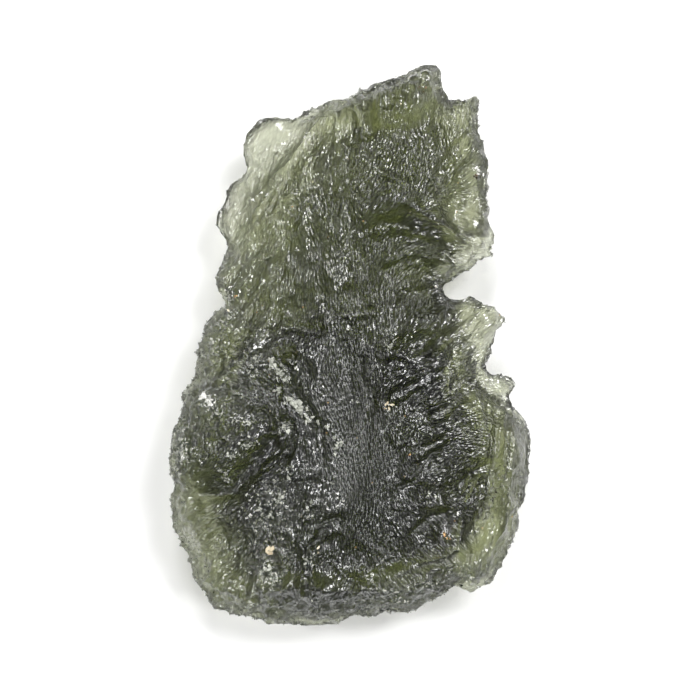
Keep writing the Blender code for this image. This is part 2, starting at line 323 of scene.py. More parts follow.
# How the grain runs: x, y and its degrees from +X.
GUIDES = each(
    Guide,
    (-6.3, 15.0, 60), (-7.9, 9.7, 75), (-8.6, 5.5, 60), (-5.9, 11.9, 70), (-6.1, 7.3, 62),
    (-4.7, 13.3, 75), (-3.3, 9.0, 103), (-3.6, 4.1, 100), (-1.9, 14.0, 80), (-1.5, 7.6, 100),
    (0.6, 16.8, 88), (2.4, 14.0, 78), (1.7, 6.9, 85), (3.8, 16.8, 100), (5.6, 18.6, 55),
    (5.7, 14.7, 70), (4.8, 11.2, 65), (7.3, 13.6, 50), (8.4, 16.1, 120), (8.7, 11.2, 20),
    (6.6, 8.7, 150), (8.4, 8.0, 160), (3.4, 8.7, 25), (5.2, 6.1, 40), (7.7, 5.8, 165),
    (-0.1, 1.2, 92), (2.7, 1.2, 100), (4.8, 2.3, 60), (7.3, 1.9, 38), (9.5, 1.6, 45),
    (4.8, -0.2, 15), (6.3, -2.3, 35), (8.7, -2.7, 25), (10.5, -2.7, 150), (7.3, -4.8, 28),
    (9.1, -5.8, 150), (6.3, -7.6, 30), (8.7, -8.7, 35), (-0.5, -5.1, 95), (2.7, -5.8, 88),
    (-0.8, -10.8, 85), (2.0, -10.8, 100), (3.4, -9.4, 120), (4.1, -12.9, 130), (6.3, -12.2, 150),
    (2.4, -15.0, 105), (5.6, -15.4, 120), (7.7, -13.6, 150), (9.5, -14.0, 70), (11.6, -5.8, 95),
    (11.8, -9.4, 80), (11.1, -12.9, 65), (9.8, -16.1, 50), (7.3, -16.8, 150), (3.4, -17.9, 170),
    (-0.8, -17.9, 60), (-2.9, -16.1, 76), (-5.1, -16.5, 85), (-3.6, -12.2, 88), (-6.1, -10.8, 60),
    (-9.3, -11.9, 28), (-11.4, -12.9, 25), (-8.6, -15.0, 45), (-10.4, -16.5, 40), (-7.5, -17.9, 90),
    (-5.8, -7.6, 42), (-9.0, -8.7, 35), (-11.8, -8.7, 80), (-12.1, -6.5, 80), (-9.7, -5.8, 60),
    (-7.2, -5.1, 50), (-9.0, -2.3, 20), (-6.8, -1.9, 140), (-5.4, -3.7, 130), (-3.6, -3.7, 120),
    (-2.2, -6.5, 110), (-9.7, 0.5, 60), (-7.2, 1.9, 80), (-4.4, 0.5, 60),
)

# Where the pits lose their direction and the skin is a rough, frosted crust.
FROSTED = each(
    Region,
    (-9.2, -3.2, 3.4, 2.2, 75, 0.5), (-6.6, -4.6, 2.6, 1.8, 0, 0.5),
    (-12.0, -7.4, 2.8, 0.8, 90, 1.1), (-12.3, -11.4, 1.4, 0.6, 90, 1.0),
    (-11.2, -14.6, 2.4, 0.8, 118, 1.0), (-9.8, -17.0, 1.6, 0.7, 140, 0.9),
    (-9.6, 0.2, 2.0, 0.7, 68, 0.8), (-3.4, -18.9, 5.0, 0.6, 3, 0.8),
    (-8.0, -17.8, 1.8, 0.6, 160, 0.7), (2.6, -17.6, 3.0, 0.9, 14, 0.9),
    (6.4, -16.2, 2.2, 1.0, 20, 0.9), (10.3, -10.2, 2.4, 0.7, 84, 1.3),
    (10.9, -15.2, 2.2, 0.6, 62, 1.0), (-1.0, -18.6, 7.0, 0.7, 2, 0.6),
    (-9.4, 1.0, 1.6, 1.2, 60, 0.5), (-5.4, -10.2, 1.2, 0.8, 60, 0.5),
    (-7.4, 0.9, 1.6, 0.8, 20, 0.3), (-5.0, -11.2, 2.8, 2.0, 60, 0.60),
    (-5.4, -14.4, 2.4, 1.4, 95, 0.60), (-8.0, -13.6, 1.8, 1.0, 40, 0.45),
)

# Small frosted knobs that stand proud; amount is their height.
KNOBS = each(
    Region,
    (-3.0, 10.1, 0.45, 0.40, 0, 0.28), (-3.8, 10.6, 0.28, 0.25, 0, 0.16),
    (-4.1, 9.7, 0.30, 0.28, 0, 0.18), (-5.9, 8.1, 0.35, 0.30, 0, 0.20),
    (-5.2, 7.1, 0.45, 0.40, 60, 0.22), (-4.9, 5.4, 0.45, 0.30, 20, 0.16),
    (-5.6, 4.6, 0.50, 0.35, 30, 0.16), (-2.9, 14.6, 0.35, 0.45, 0, 0.20),
    (-3.0, 16.5, 0.45, 0.25, 0, 0.12), (-5.1, -0.2, 0.35, 0.30, 0, 0.20),
    (-6.5, -0.8, 0.35, 0.50, 0, 0.22), (-4.9, -3.1, 0.30, 0.45, 20, 0.26),
    (-7.2, -5.3, 0.40, 0.35, 0, 0.20), (-6.5, -5.1, 0.35, 0.30, 0, 0.20),
    (-6.7, -6.7, 0.45, 0.40, 0, 0.26), (-8.7, -6.4, 0.35, 0.28, 160, 0.20),
    (-8.1, -7.3, 0.55, 0.25, 115, 0.24), (-10.3, -7.4, 0.45, 0.35, 130, 0.22),
    (-9.1, -4.6, 0.30, 0.26, 0, 0.20), (-9.9, -5.0, 0.30, 0.35, 0, 0.18),
    (-11.4, -7.5, 0.45, 0.60, 0, 0.18), (-8.5, -9.2, 0.55, 0.30, 120, 0.26),
    (-7.8, -9.0, 0.28, 0.25, 0, 0.16), (-5.2, -10.3, 0.45, 0.70, 170, 0.22),
    (-3.0, -11.6, 0.50, 0.50, 0, 0.24), (-4.9, -14.9, 0.55, 0.80, 20, 0.20),
    (-5.4, -15.9, 0.40, 0.50, 0, 0.20), (4.3, -1.8, 0.50, 0.45, 0, 0.26),
    (4.8, -3.7, 0.42, 0.42, 0, 0.28), (2.6, -0.2, 0.60, 0.45, 150, 0.18),
    (4.6, -0.3, 0.50, 0.30, 20, 0.18), (7.3, -3.0, 0.60, 0.30, 55, 0.16),
    (5.5, -5.9, 0.25, 0.50, 0, 0.22), (6.2, -6.0, 0.35, 0.30, 0, 0.18),
    (7.2, -8.0, 0.45, 0.40, 0, 0.18), (5.3, -9.5, 0.40, 0.40, 0, 0.24),
    (4.4, -11.9, 0.35, 0.40, 0, 0.20), (2.1, -13.5, 0.60, 0.55, 120, 0.22),
    (5.9, 4.7, 0.30, 0.25, 0, 0.20), (4.8, 5.7, 0.40, 0.25, 160, 0.22),
    (1.7, 6.2, 0.25, 0.25, 0, 0.14), (6.4, -14.7, 0.55, 0.35, 0, 0.18),
    (-0.7, 6.4, 0.40, 0.45, 0, 0.14), (-0.2, 1.1, 0.25, 0.22, 0, 0.14),
    (-1.0, -11.2, 0.40, 0.30, 0, 0.24), (-1.2, -9.6, 0.35, 0.60, 10, 0.22),
    (0.3, -3.8, 0.40, 0.30, 20, 0.14),
)

# Where the glass is smooth, with few pits.
SMOOTH = each(
    Region,
    (-5.8, 15.0, 1.5, 1.1, 40, 0.9), (-3.8, 15.2, 0.8, 0.6, 60, 0.5),
    (-9.0, 9.0, 0.8, 0.7, 70, 0.5), (-1.0, 14.0, 1.1, 0.30, 90, 0.8),
    (-2.0, 12.6, 0.7, 0.35, 60, 0.8), (-3.3, 12.0, 0.7, 0.30, 150, 0.7),
    (-4.9, 6.3, 0.9, 0.35, 35, 0.9), (-6.0, 4.9, 0.9, 0.30, 60, 0.9),
    (-4.9, 3.4, 0.6, 0.40, 30, 0.6), (1.4, 16.4, 1.6, 0.40, 88, 0.8),
    (4.7, 16.4, 0.9, 0.35, 75, 0.8), (8.5, 9.7, 0.75, 0.65, 0, 0.7), (7.2, 9.3, 0.6, 0.35, 60, 0.7),
    (9.7, 8.5, 0.7, 0.45, 100, 0.7), (4.9, 10.3, 0.45, 0.45, 0, 0.6),
    (8.7, 17.3, 0.6, 0.4, 60, 0.6), (-1.7, 3.5, 0.45, 0.38, 0, 0.9),
    (1.55, 1.2, 0.75, 0.25, 80, 0.8), (9.6, 1.2, 1.3, 1.0, 60, 0.5), (6.0, -1.4, 0.5, 0.4, 0, 0.6),
    (-10.2, -8.9, 0.95, 0.75, 0, 0.8), (-9.0, -10.4, 1.6, 0.45, 10, 0.7),
    (9.35, -13.2, 1.4, 0.26, 90, 0.5), (11.8, -7.4, 1.6, 0.60, 100, 0.4),
    (-5.5, -14.3, 0.45, 0.45, 0, 0.6), (-1.6, -16.2, 0.9, 0.5, 140, 0.7),
    (2.9, -15.2, 0.45, 0.4, 0, 0.6),
)

# Where fine, even dashes lie in rows and the coarser pits are shallow.
COMBED = each(
    Region,
    (0.6, -8.2, 5.5, 1.9, 88, 0.85), (-2.6, 5.6, 4.2, 1.7, 95, 0.75),
    (2.6, 13.0, 3.2, 1.9, 84, 0.70), (6.8, 13.4, 2.3, 1.5, 50, 0.60),
    (1.8, 6.4, 2.4, 1.1, 85, 0.75), (-8.8, -12.2, 3.8, 1.7, 25, 0.75),
    (-1.2, -1.6, 2.0, 1.4, 95, 0.75), (4.4, -13.0, 2.6, 1.3, 130, 0.60),
    (3.8, 2.2, 1.7, 1.7, 0, 0.60), (8.4, -6.8, 2.0, 1.2, 150, 0.55),
    (-9.4, -8.4, 1.4, 1.0, 0, 0.60),
)

# Where the upper side stands higher or lower than the solid's; amount is how much.
SWELLS = each(
    Region,
    (0.0, 17.2, 2.4, 0.9, 25, 1.2), (3.4, 17.1, 3.0, 1.4, 24, 1.6), (8.6, 14.6, 3.8, 1.0, 96, 1.1),
    (11.0, -9.6, 3.2, 0.9, 84, 1.3), (9.3, 2.0, 1.5, 1.4, 0, 0.5), (9.3, 9.2, 2.4, 1.0, 75, 1.0),
    (10.0, -13.4, 3.4, 0.9, 62, 1.3), (11.6, -8.6, 3.2, 0.8, 92, 0.3),
    (3.8, -16.3, 4.0, 1.4, 16, 1.1), (-3.2, -17.3, 6.0, 1.4, 2, 1.4),
    (-10.8, -12.4, 2.8, 1.0, 115, 1.4), (-8.9, -16.4, 2.0, 0.9, 150, 0.8),
    (-12.0, -8.2, 3.2, 0.7, 92, 0.2), (-9.4, 1.8, 2.4, 0.8, 70, 0.5),
)

# Where the underside is hollow or full, which sets how much light the glass lets
# through; amount is how far the underside goes up, so the glass is thinner.
CAVES = each(
    Region,
    (-4.2, 13.2, 3.0, 2.0, 75, 1.6), (-5.2, 8.2, 3.0, 1.9, 90, 1.1), (-3.2, 3.9, 4.2, 1.9, 88, 3.0),
    (-0.2, 15.2, 2.0, 1.2, 70, 1.4), (3.0, 16.4, 2.6, 1.4, 20, -1.1),
    (2.6, 12.2, 3.2, 2.0, 80, 3.0), (5.8, 11.4, 1.4, 1.4, 0, 0.9), (0.8, 6.8, 2.6, 1.7, 80, 1.8),
    (7.2, 14.0, 3.0, 0.9, 96, -0.9), (3.2, 8.2, 2.8, 1.6, 0, -1.5), (-8.8, -2.2, 2.4, 1.5, 80, 2.2),
    (-8.1, -12.6, 2.9, 1.9, 120, 4.2), (-9.4, -11.2, 3.4, 1.2, 10, 1.2),
    (-3.0, 11.2, 2.2, 1.4, 70, 1.0), (0.9, 11.2, 1.8, 1.3, 80, 1.8), (6.4, -2.6, 2.2, 0.9, 80, 1.2),
    (8.0, -7.2, 2.0, 1.4, 90, 2.0), (8.7, 7.2, 1.6, 0.9, 40, 1.2), (5.6, -9.7, 1.1, 1.0, 0, 1.4),
    (7.8, -13.2, 1.7, 1.0, 60, 1.4), (11.6, -5.2, 1.2, 0.7, 70, 0.8),
    (8.3, -16.8, 1.3, 0.7, 20, 2.4), (-8.6, 3.3, 1.2, 0.6, 80, 0.9),
    (-8.7, 11.1, 0.9, 0.5, 60, 0.7), (-3.0, -19.0, 6.0, 0.5, 2, 1.0),
    (3.9, -2.2, 2.6, 1.1, 90, -1.9), (5.2, 2.9, 2.4, 1.0, 90, -0.9), (5.2, 9.9, 1.6, 1.0, 150, 3.0),
    (-11.8, -7.6, 2.6, 0.8, 90, 1.0), (9.6, -1.0, 1.4, 0.9, 60, 1.8), (2.7, -0.2, 0.8, 0.6, 0, 1.4),
    (8.5, 5.6, 1.4, 0.7, 30, 0.8), (-5.2, -7.4, 2.2, 2.0, 90, -1.6),
    (-0.8, -16.0, 6.0, 2.2, 2, -1.2),
)

# Where the skin glints more or less than elsewhere; amount is the change in its shine.
SHINE = each(
    Region,
    (1.2, -6.6, 6.5, 2.4, 90, -0.50), (3.6, 6.6, 2.8, 2.0, 60, -0.65),
    (-0.4, -1.6, 5.5, 2.2, 92, -0.50), (-2.6, 9.8, 6.5, 3.0, 95, -0.25),
    (2.7, 10.8, 1.6, 1.4, 0, -0.35), (10.3, -10.4, 2.6, 0.9, 86, 0.40),
    (5.2, -8.0, 2.4, 1.8, 30, -0.40), (5.0, -12.8, 2.2, 1.8, 30, -0.35),
    (3.2, 12.6, 2.4, 2.2, 80, -0.40), (4.6, 17.2, 4.6, 1.6, 20, -0.30),
    (8.4, 14.0, 4.0, 1.2, 95, -0.35), (-4.6, -10.2, 3.4, 2.6, 60, 0.35),
    (-5.4, -15.4, 3.0, 2.0, 20, 0.35), (1.4, -16.2, 0.9, 0.8, 0, 0.5),
    (5.0, 9.8, 2.0, 0.8, 150, 0.30),
)

# The ridges and valleys between the solid's and the pits.
FURROWS = (
    # ridges of the upper half
    Furrow(((-2.0, 15.8), (-3.2, 14.2), (-4.2, 12.9), (-5.6, 11.6)), 0.24, 0.36),
    Furrow(((-4.3, 12.4), (-5.3, 10.6), (-6.0, 8.9)), 0.18, 0.30),
    Furrow(((-4.8, 12.3), (-5.7, 10.7), (-6.5, 9.4)), 0.16, 0.26),
    Furrow(((-4.5, 12.0), (-5.5, 10.5), (-6.2, 9.1)), 0.12, -0.26, 0.2),
    Furrow(((4.4, 17.4), (4.1, 15.9)), 0.15, 0.18),
    Furrow(((5.6, 11.3), (5.8, 9.8), (6.1, 9.3)), 0.20, 0.28),
    Furrow(((3.7, 9.9), (5.4, 9.0), (7.0, 8.0)), 0.30, 0.26),
    Furrow(((3.0, 11.2), (2.2, 10.6)), 0.16, 0.14),
    Furrow(((0.2, 16.8), (0.5, 15.3)), 0.26, 0.28),
    Furrow(((0.7, 18.2), (0.9, 16.4)), 0.20, 0.26),
    Furrow(((2.1, 18.0), (2.0, 16.0)), 0.20, 0.26),
    Furrow(((2.7, 18.2), (2.6, 16.6)), 0.18, -0.30, 0.4),
    # valleys of the upper half
    Furrow(((1.4, 17.9), (1.4, 14.9)), 0.42, -0.44, 0.6),
    Furrow(((2.1, 8.5), (3.4, 8.5), (4.4, 8.1)), 0.50, -0.50, 0.8),
    Furrow(((4.5, 7.9), (5.6, 7.9), (6.9, 7.2)), 0.40, -0.42, 0.7),
    Furrow(((2.2, 11.9), (3.2, 11.5)), 0.22, -0.28, 0.5),
    Furrow(((8.2, 14.9), (7.0, 13.5), (6.0, 12.1)), 0.26, -0.26, 0.3),
    Furrow(((0.0, 7.4), (0.2, 6.6)), 0.35, -0.24, 0.6),
    Furrow(((-5.0, 8.9), (-4.2, 8.7)), 0.30, -0.34, 0.7),
    Furrow(((2.4, 5.2), (3.6, 6.0)), 0.26, -0.30, 0.6),
    Furrow(((-0.6, 11.6), (0.8, 10.6)), 0.30, 0.16),
    # the middle
    Furrow(((-4.3, 1.3), (-2.2, 1.0)), 0.42, -0.46, 0.8),
    Furrow(((-0.6, 2.2), (1.4, 2.4)), 0.34, -0.34, 0.6),
    Furrow(((-0.4, 0.9), (0.0, 0.5)), 0.28, -0.28, 0.6),
    Furrow(((-3.5, -2.1), (-4.0, -3.3)), 0.30, -0.34, 0.9),
    Furrow(((3.1, -0.5), (4.4, -0.9), (5.6, -0.3), (7.1, 0.8)), 0.38, -0.52, 0.35),
    Furrow(((3.0, -3.6), (4.6, -2.7), (6.5, -1.8)), 0.36, -0.46, 0.3),
    Furrow(((5.9, -4.9), (7.2, -4.2), (8.2, -3.5)), 0.36, -0.44, 0.3),
    Furrow(((6.0, 1.7), (5.9, 0.9), (5.6, 0.35)), 0.18, 0.26),
    Furrow(((3.3, 2.9), (3.1, 2.2)), 0.24, 0.20),
    Furrow(((3.2, 0.9), (4.2, 1.9), (5.4, 1.9)), 0.26, 0.16),
    Furrow(((1.0, -0.8), (1.3, -3.0), (1.6, -4.4)), 0.26, 0.18),
    # the left block and the valley below it
    Furrow(((-8.1, -9.7), (-6.6, -8.2), (-5.4, -7.0)), 0.60, -0.60, 0.35),
    Furrow(((-6.3, -8.5), (-5.2, -7.6), (-4.3, -6.9)), 0.13, 0.12),
    Furrow(((-5.9, -8.9), (-5.0, -8.0), (-4.3, -7.6)), 0.13, 0.16),
    Furrow(((-10.6, -10.4), (-7.6, -10.3)), 0.40, -0.34, 0.7),
    Furrow(((-10.8, -2.4), (-9.2, -2.8)), 0.35, -0.30, 0.7),
    Furrow(((-6.9, -0.4), (-6.1, 0.0)), 0.30, -0.34, 0.8),
    Furrow(((-9.6, -4.4), (-9.3, -6.0)), 0.35, -0.26, 0.4),
    Furrow(((-3.3, -9.3), (-2.0, -9.4)), 0.34, -0.40, 0.7),
    Furrow(((-3.2, -9.0), (-2.3, -8.8), (-1.3, -8.1)), 0.18, 0.24),
    Furrow(((-4.4, -10.6), (-3.4, -10.4)), 0.30, -0.30, 0.6),
    Furrow(((-2.6, -12.5), (-0.9, -11.9)), 0.34, -0.46, 0.8),
    Furrow(((-2.0, -13.6), (-0.8, -13.2)), 0.30, -0.30, 0.5),
    # the right-hand side
    Furrow(((4.9, -7.4), (5.6, -6.9), (6.4, -6.4)), 0.26, -0.50, 0.8),
    Furrow(((7.6, -9.7), (8.4, -8.9), (9.5, -8.4)), 0.26, -0.50, 0.8),
    Furrow(((3.2, -6.6), (4.3, -6.4)), 0.26, -0.32, 0.6),
    Furrow(((3.4, -9.8), (4.3, -9.4)), 0.28, -0.36, 0.7),
    Furrow(((4.4, -12.8), (5.6, -11.8), (6.8, -11.6)), 0.34, -0.42, 0.7),
    Furrow(((9.8, -4.2), (9.6, -6.0), (9.1, -8.0)), 0.14, 0.20),
    Furrow(((10.3, -4.4), (10.2, -6.0), (10.0, -8.0), (9.5, -9.8)), 0.13, -0.24, 0.2),
    Furrow(((10.7, -4.8), (10.5, -6.4), (10.4, -8.2)), 0.12, 0.20),
    Furrow(((11.2, -6.2), (11.0, -7.6), (10.9, -9.4)), 0.12, -0.18, 0.1),
    Furrow(((12.0, -10.4), (10.9, -11.9), (10.3, -13.3), (9.7, -14.7)), 0.14, 0.26),
    Furrow(((12.2, -11.2), (11.2, -12.5), (10.5, -14.0), (9.9, -15.2)), 0.13, -0.24, 0.2),
    Furrow(((11.0, -4.6), (10.9, -6.2)), 0.18, -0.24, 0.4),
    Furrow(((8.9, -9.1), (8.0, -10.7)), 0.16, 0.24),
    Furrow(((8.4, -9.0), (7.7, -10.2)), 0.14, 0.18),
    Furrow(((11.4, -10.9), (10.2, -13.0)), 0.13, 0.14),
    Furrow(((9.9, -11.4), (10.1, -13.0), (9.8, -14.9)), 0.16, -0.18, 0.3),
    Furrow(((5.0, -15.2), (6.4, -15.0), (7.4, -14.5)), 0.22, -0.36, 0.5),
    Furrow(((10.8, -13.4), (9.2, -16.0)), 0.18, 0.18),
    Furrow(((11.6, -13.0), (10.0, -16.0)), 0.18, 0.16),
    # the ridges and seams at the bottom
    Furrow(((-2.7, -13.2), (-3.2, -15.6), (-3.8, -18.1)), 0.20, 0.30),
    Furrow(((-2.6, -14.4), (-2.5, -16.4), (-3.0, -18.2)), 0.18, 0.28),
    Furrow(((-2.1, -16.4), (-2.4, -18.0)), 0.20, 0.22),
    Furrow(((-3.1, -15.9), (-3.0, -18.0)), 0.20, -0.34, 0.6),
    Furrow(((-4.8, -14.6), (-4.7, -17.2)), 0.20, 0.20),
    Furrow(((-4.0, -15.2), (-4.2, -17.4)), 0.28, -0.34, 0.7),
    Furrow(((-2.2, -14.2), (-1.1, -15.0), (-0.2, -15.9)), 0.13, 0.18),
    Furrow(((0.4, -15.0), (0.5, -16.2)), 0.13, 0.16),
    Furrow(((-9.2, -18.2), (-6.2, -18.7), (-2.0, -18.2), (2.6, -17.6)), 0.26, -0.30),
    Furrow(((-10.6, -16.2), (-8.8, -17.0)), 0.22, 0.20),
    Furrow(((-11.8, -13.2), (-9.4, -11.9), (-6.9, -10.7)), 0.20, 0.16),
    Furrow(((-11.4, -13.8), (-9.6, -12.9), (-8.4, -12.0)), 0.20, 0.16),
    Furrow(((-12.0, -12.2), (-9.8, -11.2)), 0.20, 0.14),
    Furrow(((-9.6, -15.2), (-8.6, -14.4), (-7.9, -14.1)), 0.18, 0.16),
)

# Where flakes have come off.
FACETS = each(
    Facet,
    (-4.9, -1.7, 0.95, 0.26, 130), (-3.9, -3.9, 0.50, 0.28, 125), (-3.0, -4.9, 0.75, 0.22, 138),
    (5.1, 18.7, 0.55, 0.26, 70), (4.4, 18.6, 0.30, 0.22, 0), (-2.1, -6.3, 0.60, 0.16, 95, 0.08),
    (-2.8, -6.6, 0.50, 0.14, 110, 0.08), (5.5, -10.8, 0.35, 0.18, 90), (1.4, -16.0, 0.60, 0.18, 70),
    (1.0, -15.6, 0.40, 0.14, 110, 0.08), (4.8, -16.8, 0.60, 0.20, 40), (4.5, -18.1, 0.35, 0.20, 20),
    (-5.6, -10.4, 0.70, 0.20, 75), (-4.0, -12.9, 0.60, 0.22, 95), (-9.4, -17.6, 0.50, 0.22, 110),
    (-6.9, -17.9, 0.60, 0.28, 20), (0.8, 11.0, 0.35, 0.16, 60, 0.08),
    (-0.2, 11.4, 0.30, 0.14, 50, 0.08), (8.8, 8.6, 0.28, 0.16, 30, 0.08),
    (-8.6, -9.3, 0.45, 0.16, 120, 0.08), (7.3, -2.9, 0.55, 0.16, 60, 0.06),
    (-11.5, -7.6, 0.40, 0.30, 100, 0.08), (2.0, -14.0, 0.45, 0.12, 130, 0.06),
    (2.5, -13.7, 0.45, 0.12, 130, 0.06),
)

# Pits deeper than the rest; amount is their depth.
HOLLOWS = each(
    Region,
    (8.5, 9.7, 0.70, 0.60, 0, 0.30), (7.2, 9.3, 0.50, 0.35, 60, 0.24),
    (9.7, 8.5, 0.60, 0.45, 100, 0.24), (-4.25, -1.0, 0.34, 0.22, 150, 0.60),
    (-1.7, 3.5, 0.42, 0.36, 0, 0.26), (4.9, 17.9, 0.30, 0.22, 100, 0.35),
    (-5.5, -14.4, 0.38, 0.38, 0, 0.26), (-10.2, -8.9, 0.85, 0.65, 0, 0.22),
    (-1.4, -16.2, 0.80, 0.50, 140, 0.30), (3.0, -15.0, 0.45, 0.40, 0, 0.34),
    (1.6, 8.0, 0.80, 0.35, 0, 0.22), (-2.7, -13.1, 0.30, 0.30, 0, 0.30),
    (-4.0, -11.0, 0.25, 0.25, 0, 0.30),
)


# ------------------------------------------------------------------ the skin


def point_rows(mesh: Mesh) -> Rows:
    """The mesh's points.

    Args:
        mesh: the mesh to read.

    Returns:
        Rows of x, y, z.
    """
    rows = np.empty(len(mesh.vertices) * 3)
    mesh.vertices.foreach_get("co", rows)
    return rows.reshape(-1, 3)


def normal_rows(mesh: Mesh) -> Rows:
    """The mesh's point normals.

    Args:
        mesh: the mesh to read.

    Returns:
        Rows of x, y, z, one a point.
    """
    rows = np.empty(len(mesh.vertices) * 3)
    mesh.vertex_normals.foreach_get("vector", rows)
    return rows.reshape(-1, 3)


def move_points(mesh: Mesh, rows: Rows) -> None:
    """Put the mesh's points where the rows say."""
    mesh.vertices.foreach_set("co", rows.ravel())
    mesh.update()


def edge_pairs(mesh: Mesh) -> tuple[Rows, Rows]:
    """The mesh's edges, each given both ways round.

    Args:
        mesh: the mesh to read.

    Returns:
        The point that each edge starts from, and the point that it goes to.
    """
    ends = np.empty(len(mesh.edges) * 2, dtype=int)
    mesh.edges.foreach_get("vertices", ends)
    return np.concatenate([ends[0::2], ends[1::2]]), np.concatenate([ends[1::2], ends[0::2]])


def neighbour_mean(pairs: tuple[Rows, Rows], rows: Rows) -> Rows:
    """The mean of each point's neighbours.

    Args:
        pairs: the mesh's edges, from edge_pairs.
        rows: one row of values a point.

    Returns:
        One row of means a point.
    """
    here, there = pairs
    sums = [np.bincount(here, weights=column[there], minlength=len(rows)) for column in rows.T]
    return np.stack(sums, axis=1) / np.bincount(here, minlength=len(rows))[:, None]


def total(regions: tuple[Region, ...], points: Rows) -> Rows:
    """The regions' amounts at each point, added together."""
    return sum(region.amount * region.weight(points) for region in regions)


def top_tree(points: Rows, chosen: Rows) -> KDTree:
    """A search tree that finds points by where they are when seen from above.

    Args:
        points: rows of x, y, z.
        chosen: the indices of the points to hold.

    Returns:
        The tree, which answers with indices in points.
    """
    tree = KDTree(len(chosen))
    for index in chosen.tolist():
        tree.insert((points[index, 0], points[index, 1], 0.0), index)
    tree.balance()
    return tree


def add_value(mesh: Mesh, name: str, values: Rows) -> None:
    """Store one number a point under a name that the finish reads."""
    attribute = mesh.attributes.new(name, "FLOAT", "POINT")
    attribute.data.foreach_set("value", values.astype(np.float32))


def placed(name: str, data: bpy.types.ID) -> bpy.types.Object:
    """Make an object of a mesh, a light or a camera.

    Args:
        name: the object's name.
        data: what it shows.

    Returns:
        The object, which is in the scene, at the origin.
    """
    item = bpy.data.objects.new(name, data)
    bpy.context.scene.collection.objects.link(item)
    return item


@dataclass(frozen=True)
class Lumps:
    """Soft noise over the skin."""

    size: float
    seed: float              # shifts the pattern

    def at(self, points: Rows) -> Rows:
        """The noise at each point, from about -1 to 1."""
        shift = Vector((self.seed, 2.3 * self.seed, -1.7 * self.seed))
        return np.array([noise.noise(Vector(point) / self.size + shift) for point in points])


@dataclass(frozen=True)
class SkinTraits:
    """What the skin is like at each of its points, before it is shaped."""

    upper: Rows        # 1 on the upper side, 0 underneath
    resting: Rows      # true where the stone lies on the table
    frost: Rows        # 1 where the skin is a rough crust
    smooth: Rows       # 1 where the glass has no pits
    rim: Rows          # 1 where the skin stands upright
    lumps: Rows        # soft noise, for what varies from place to place


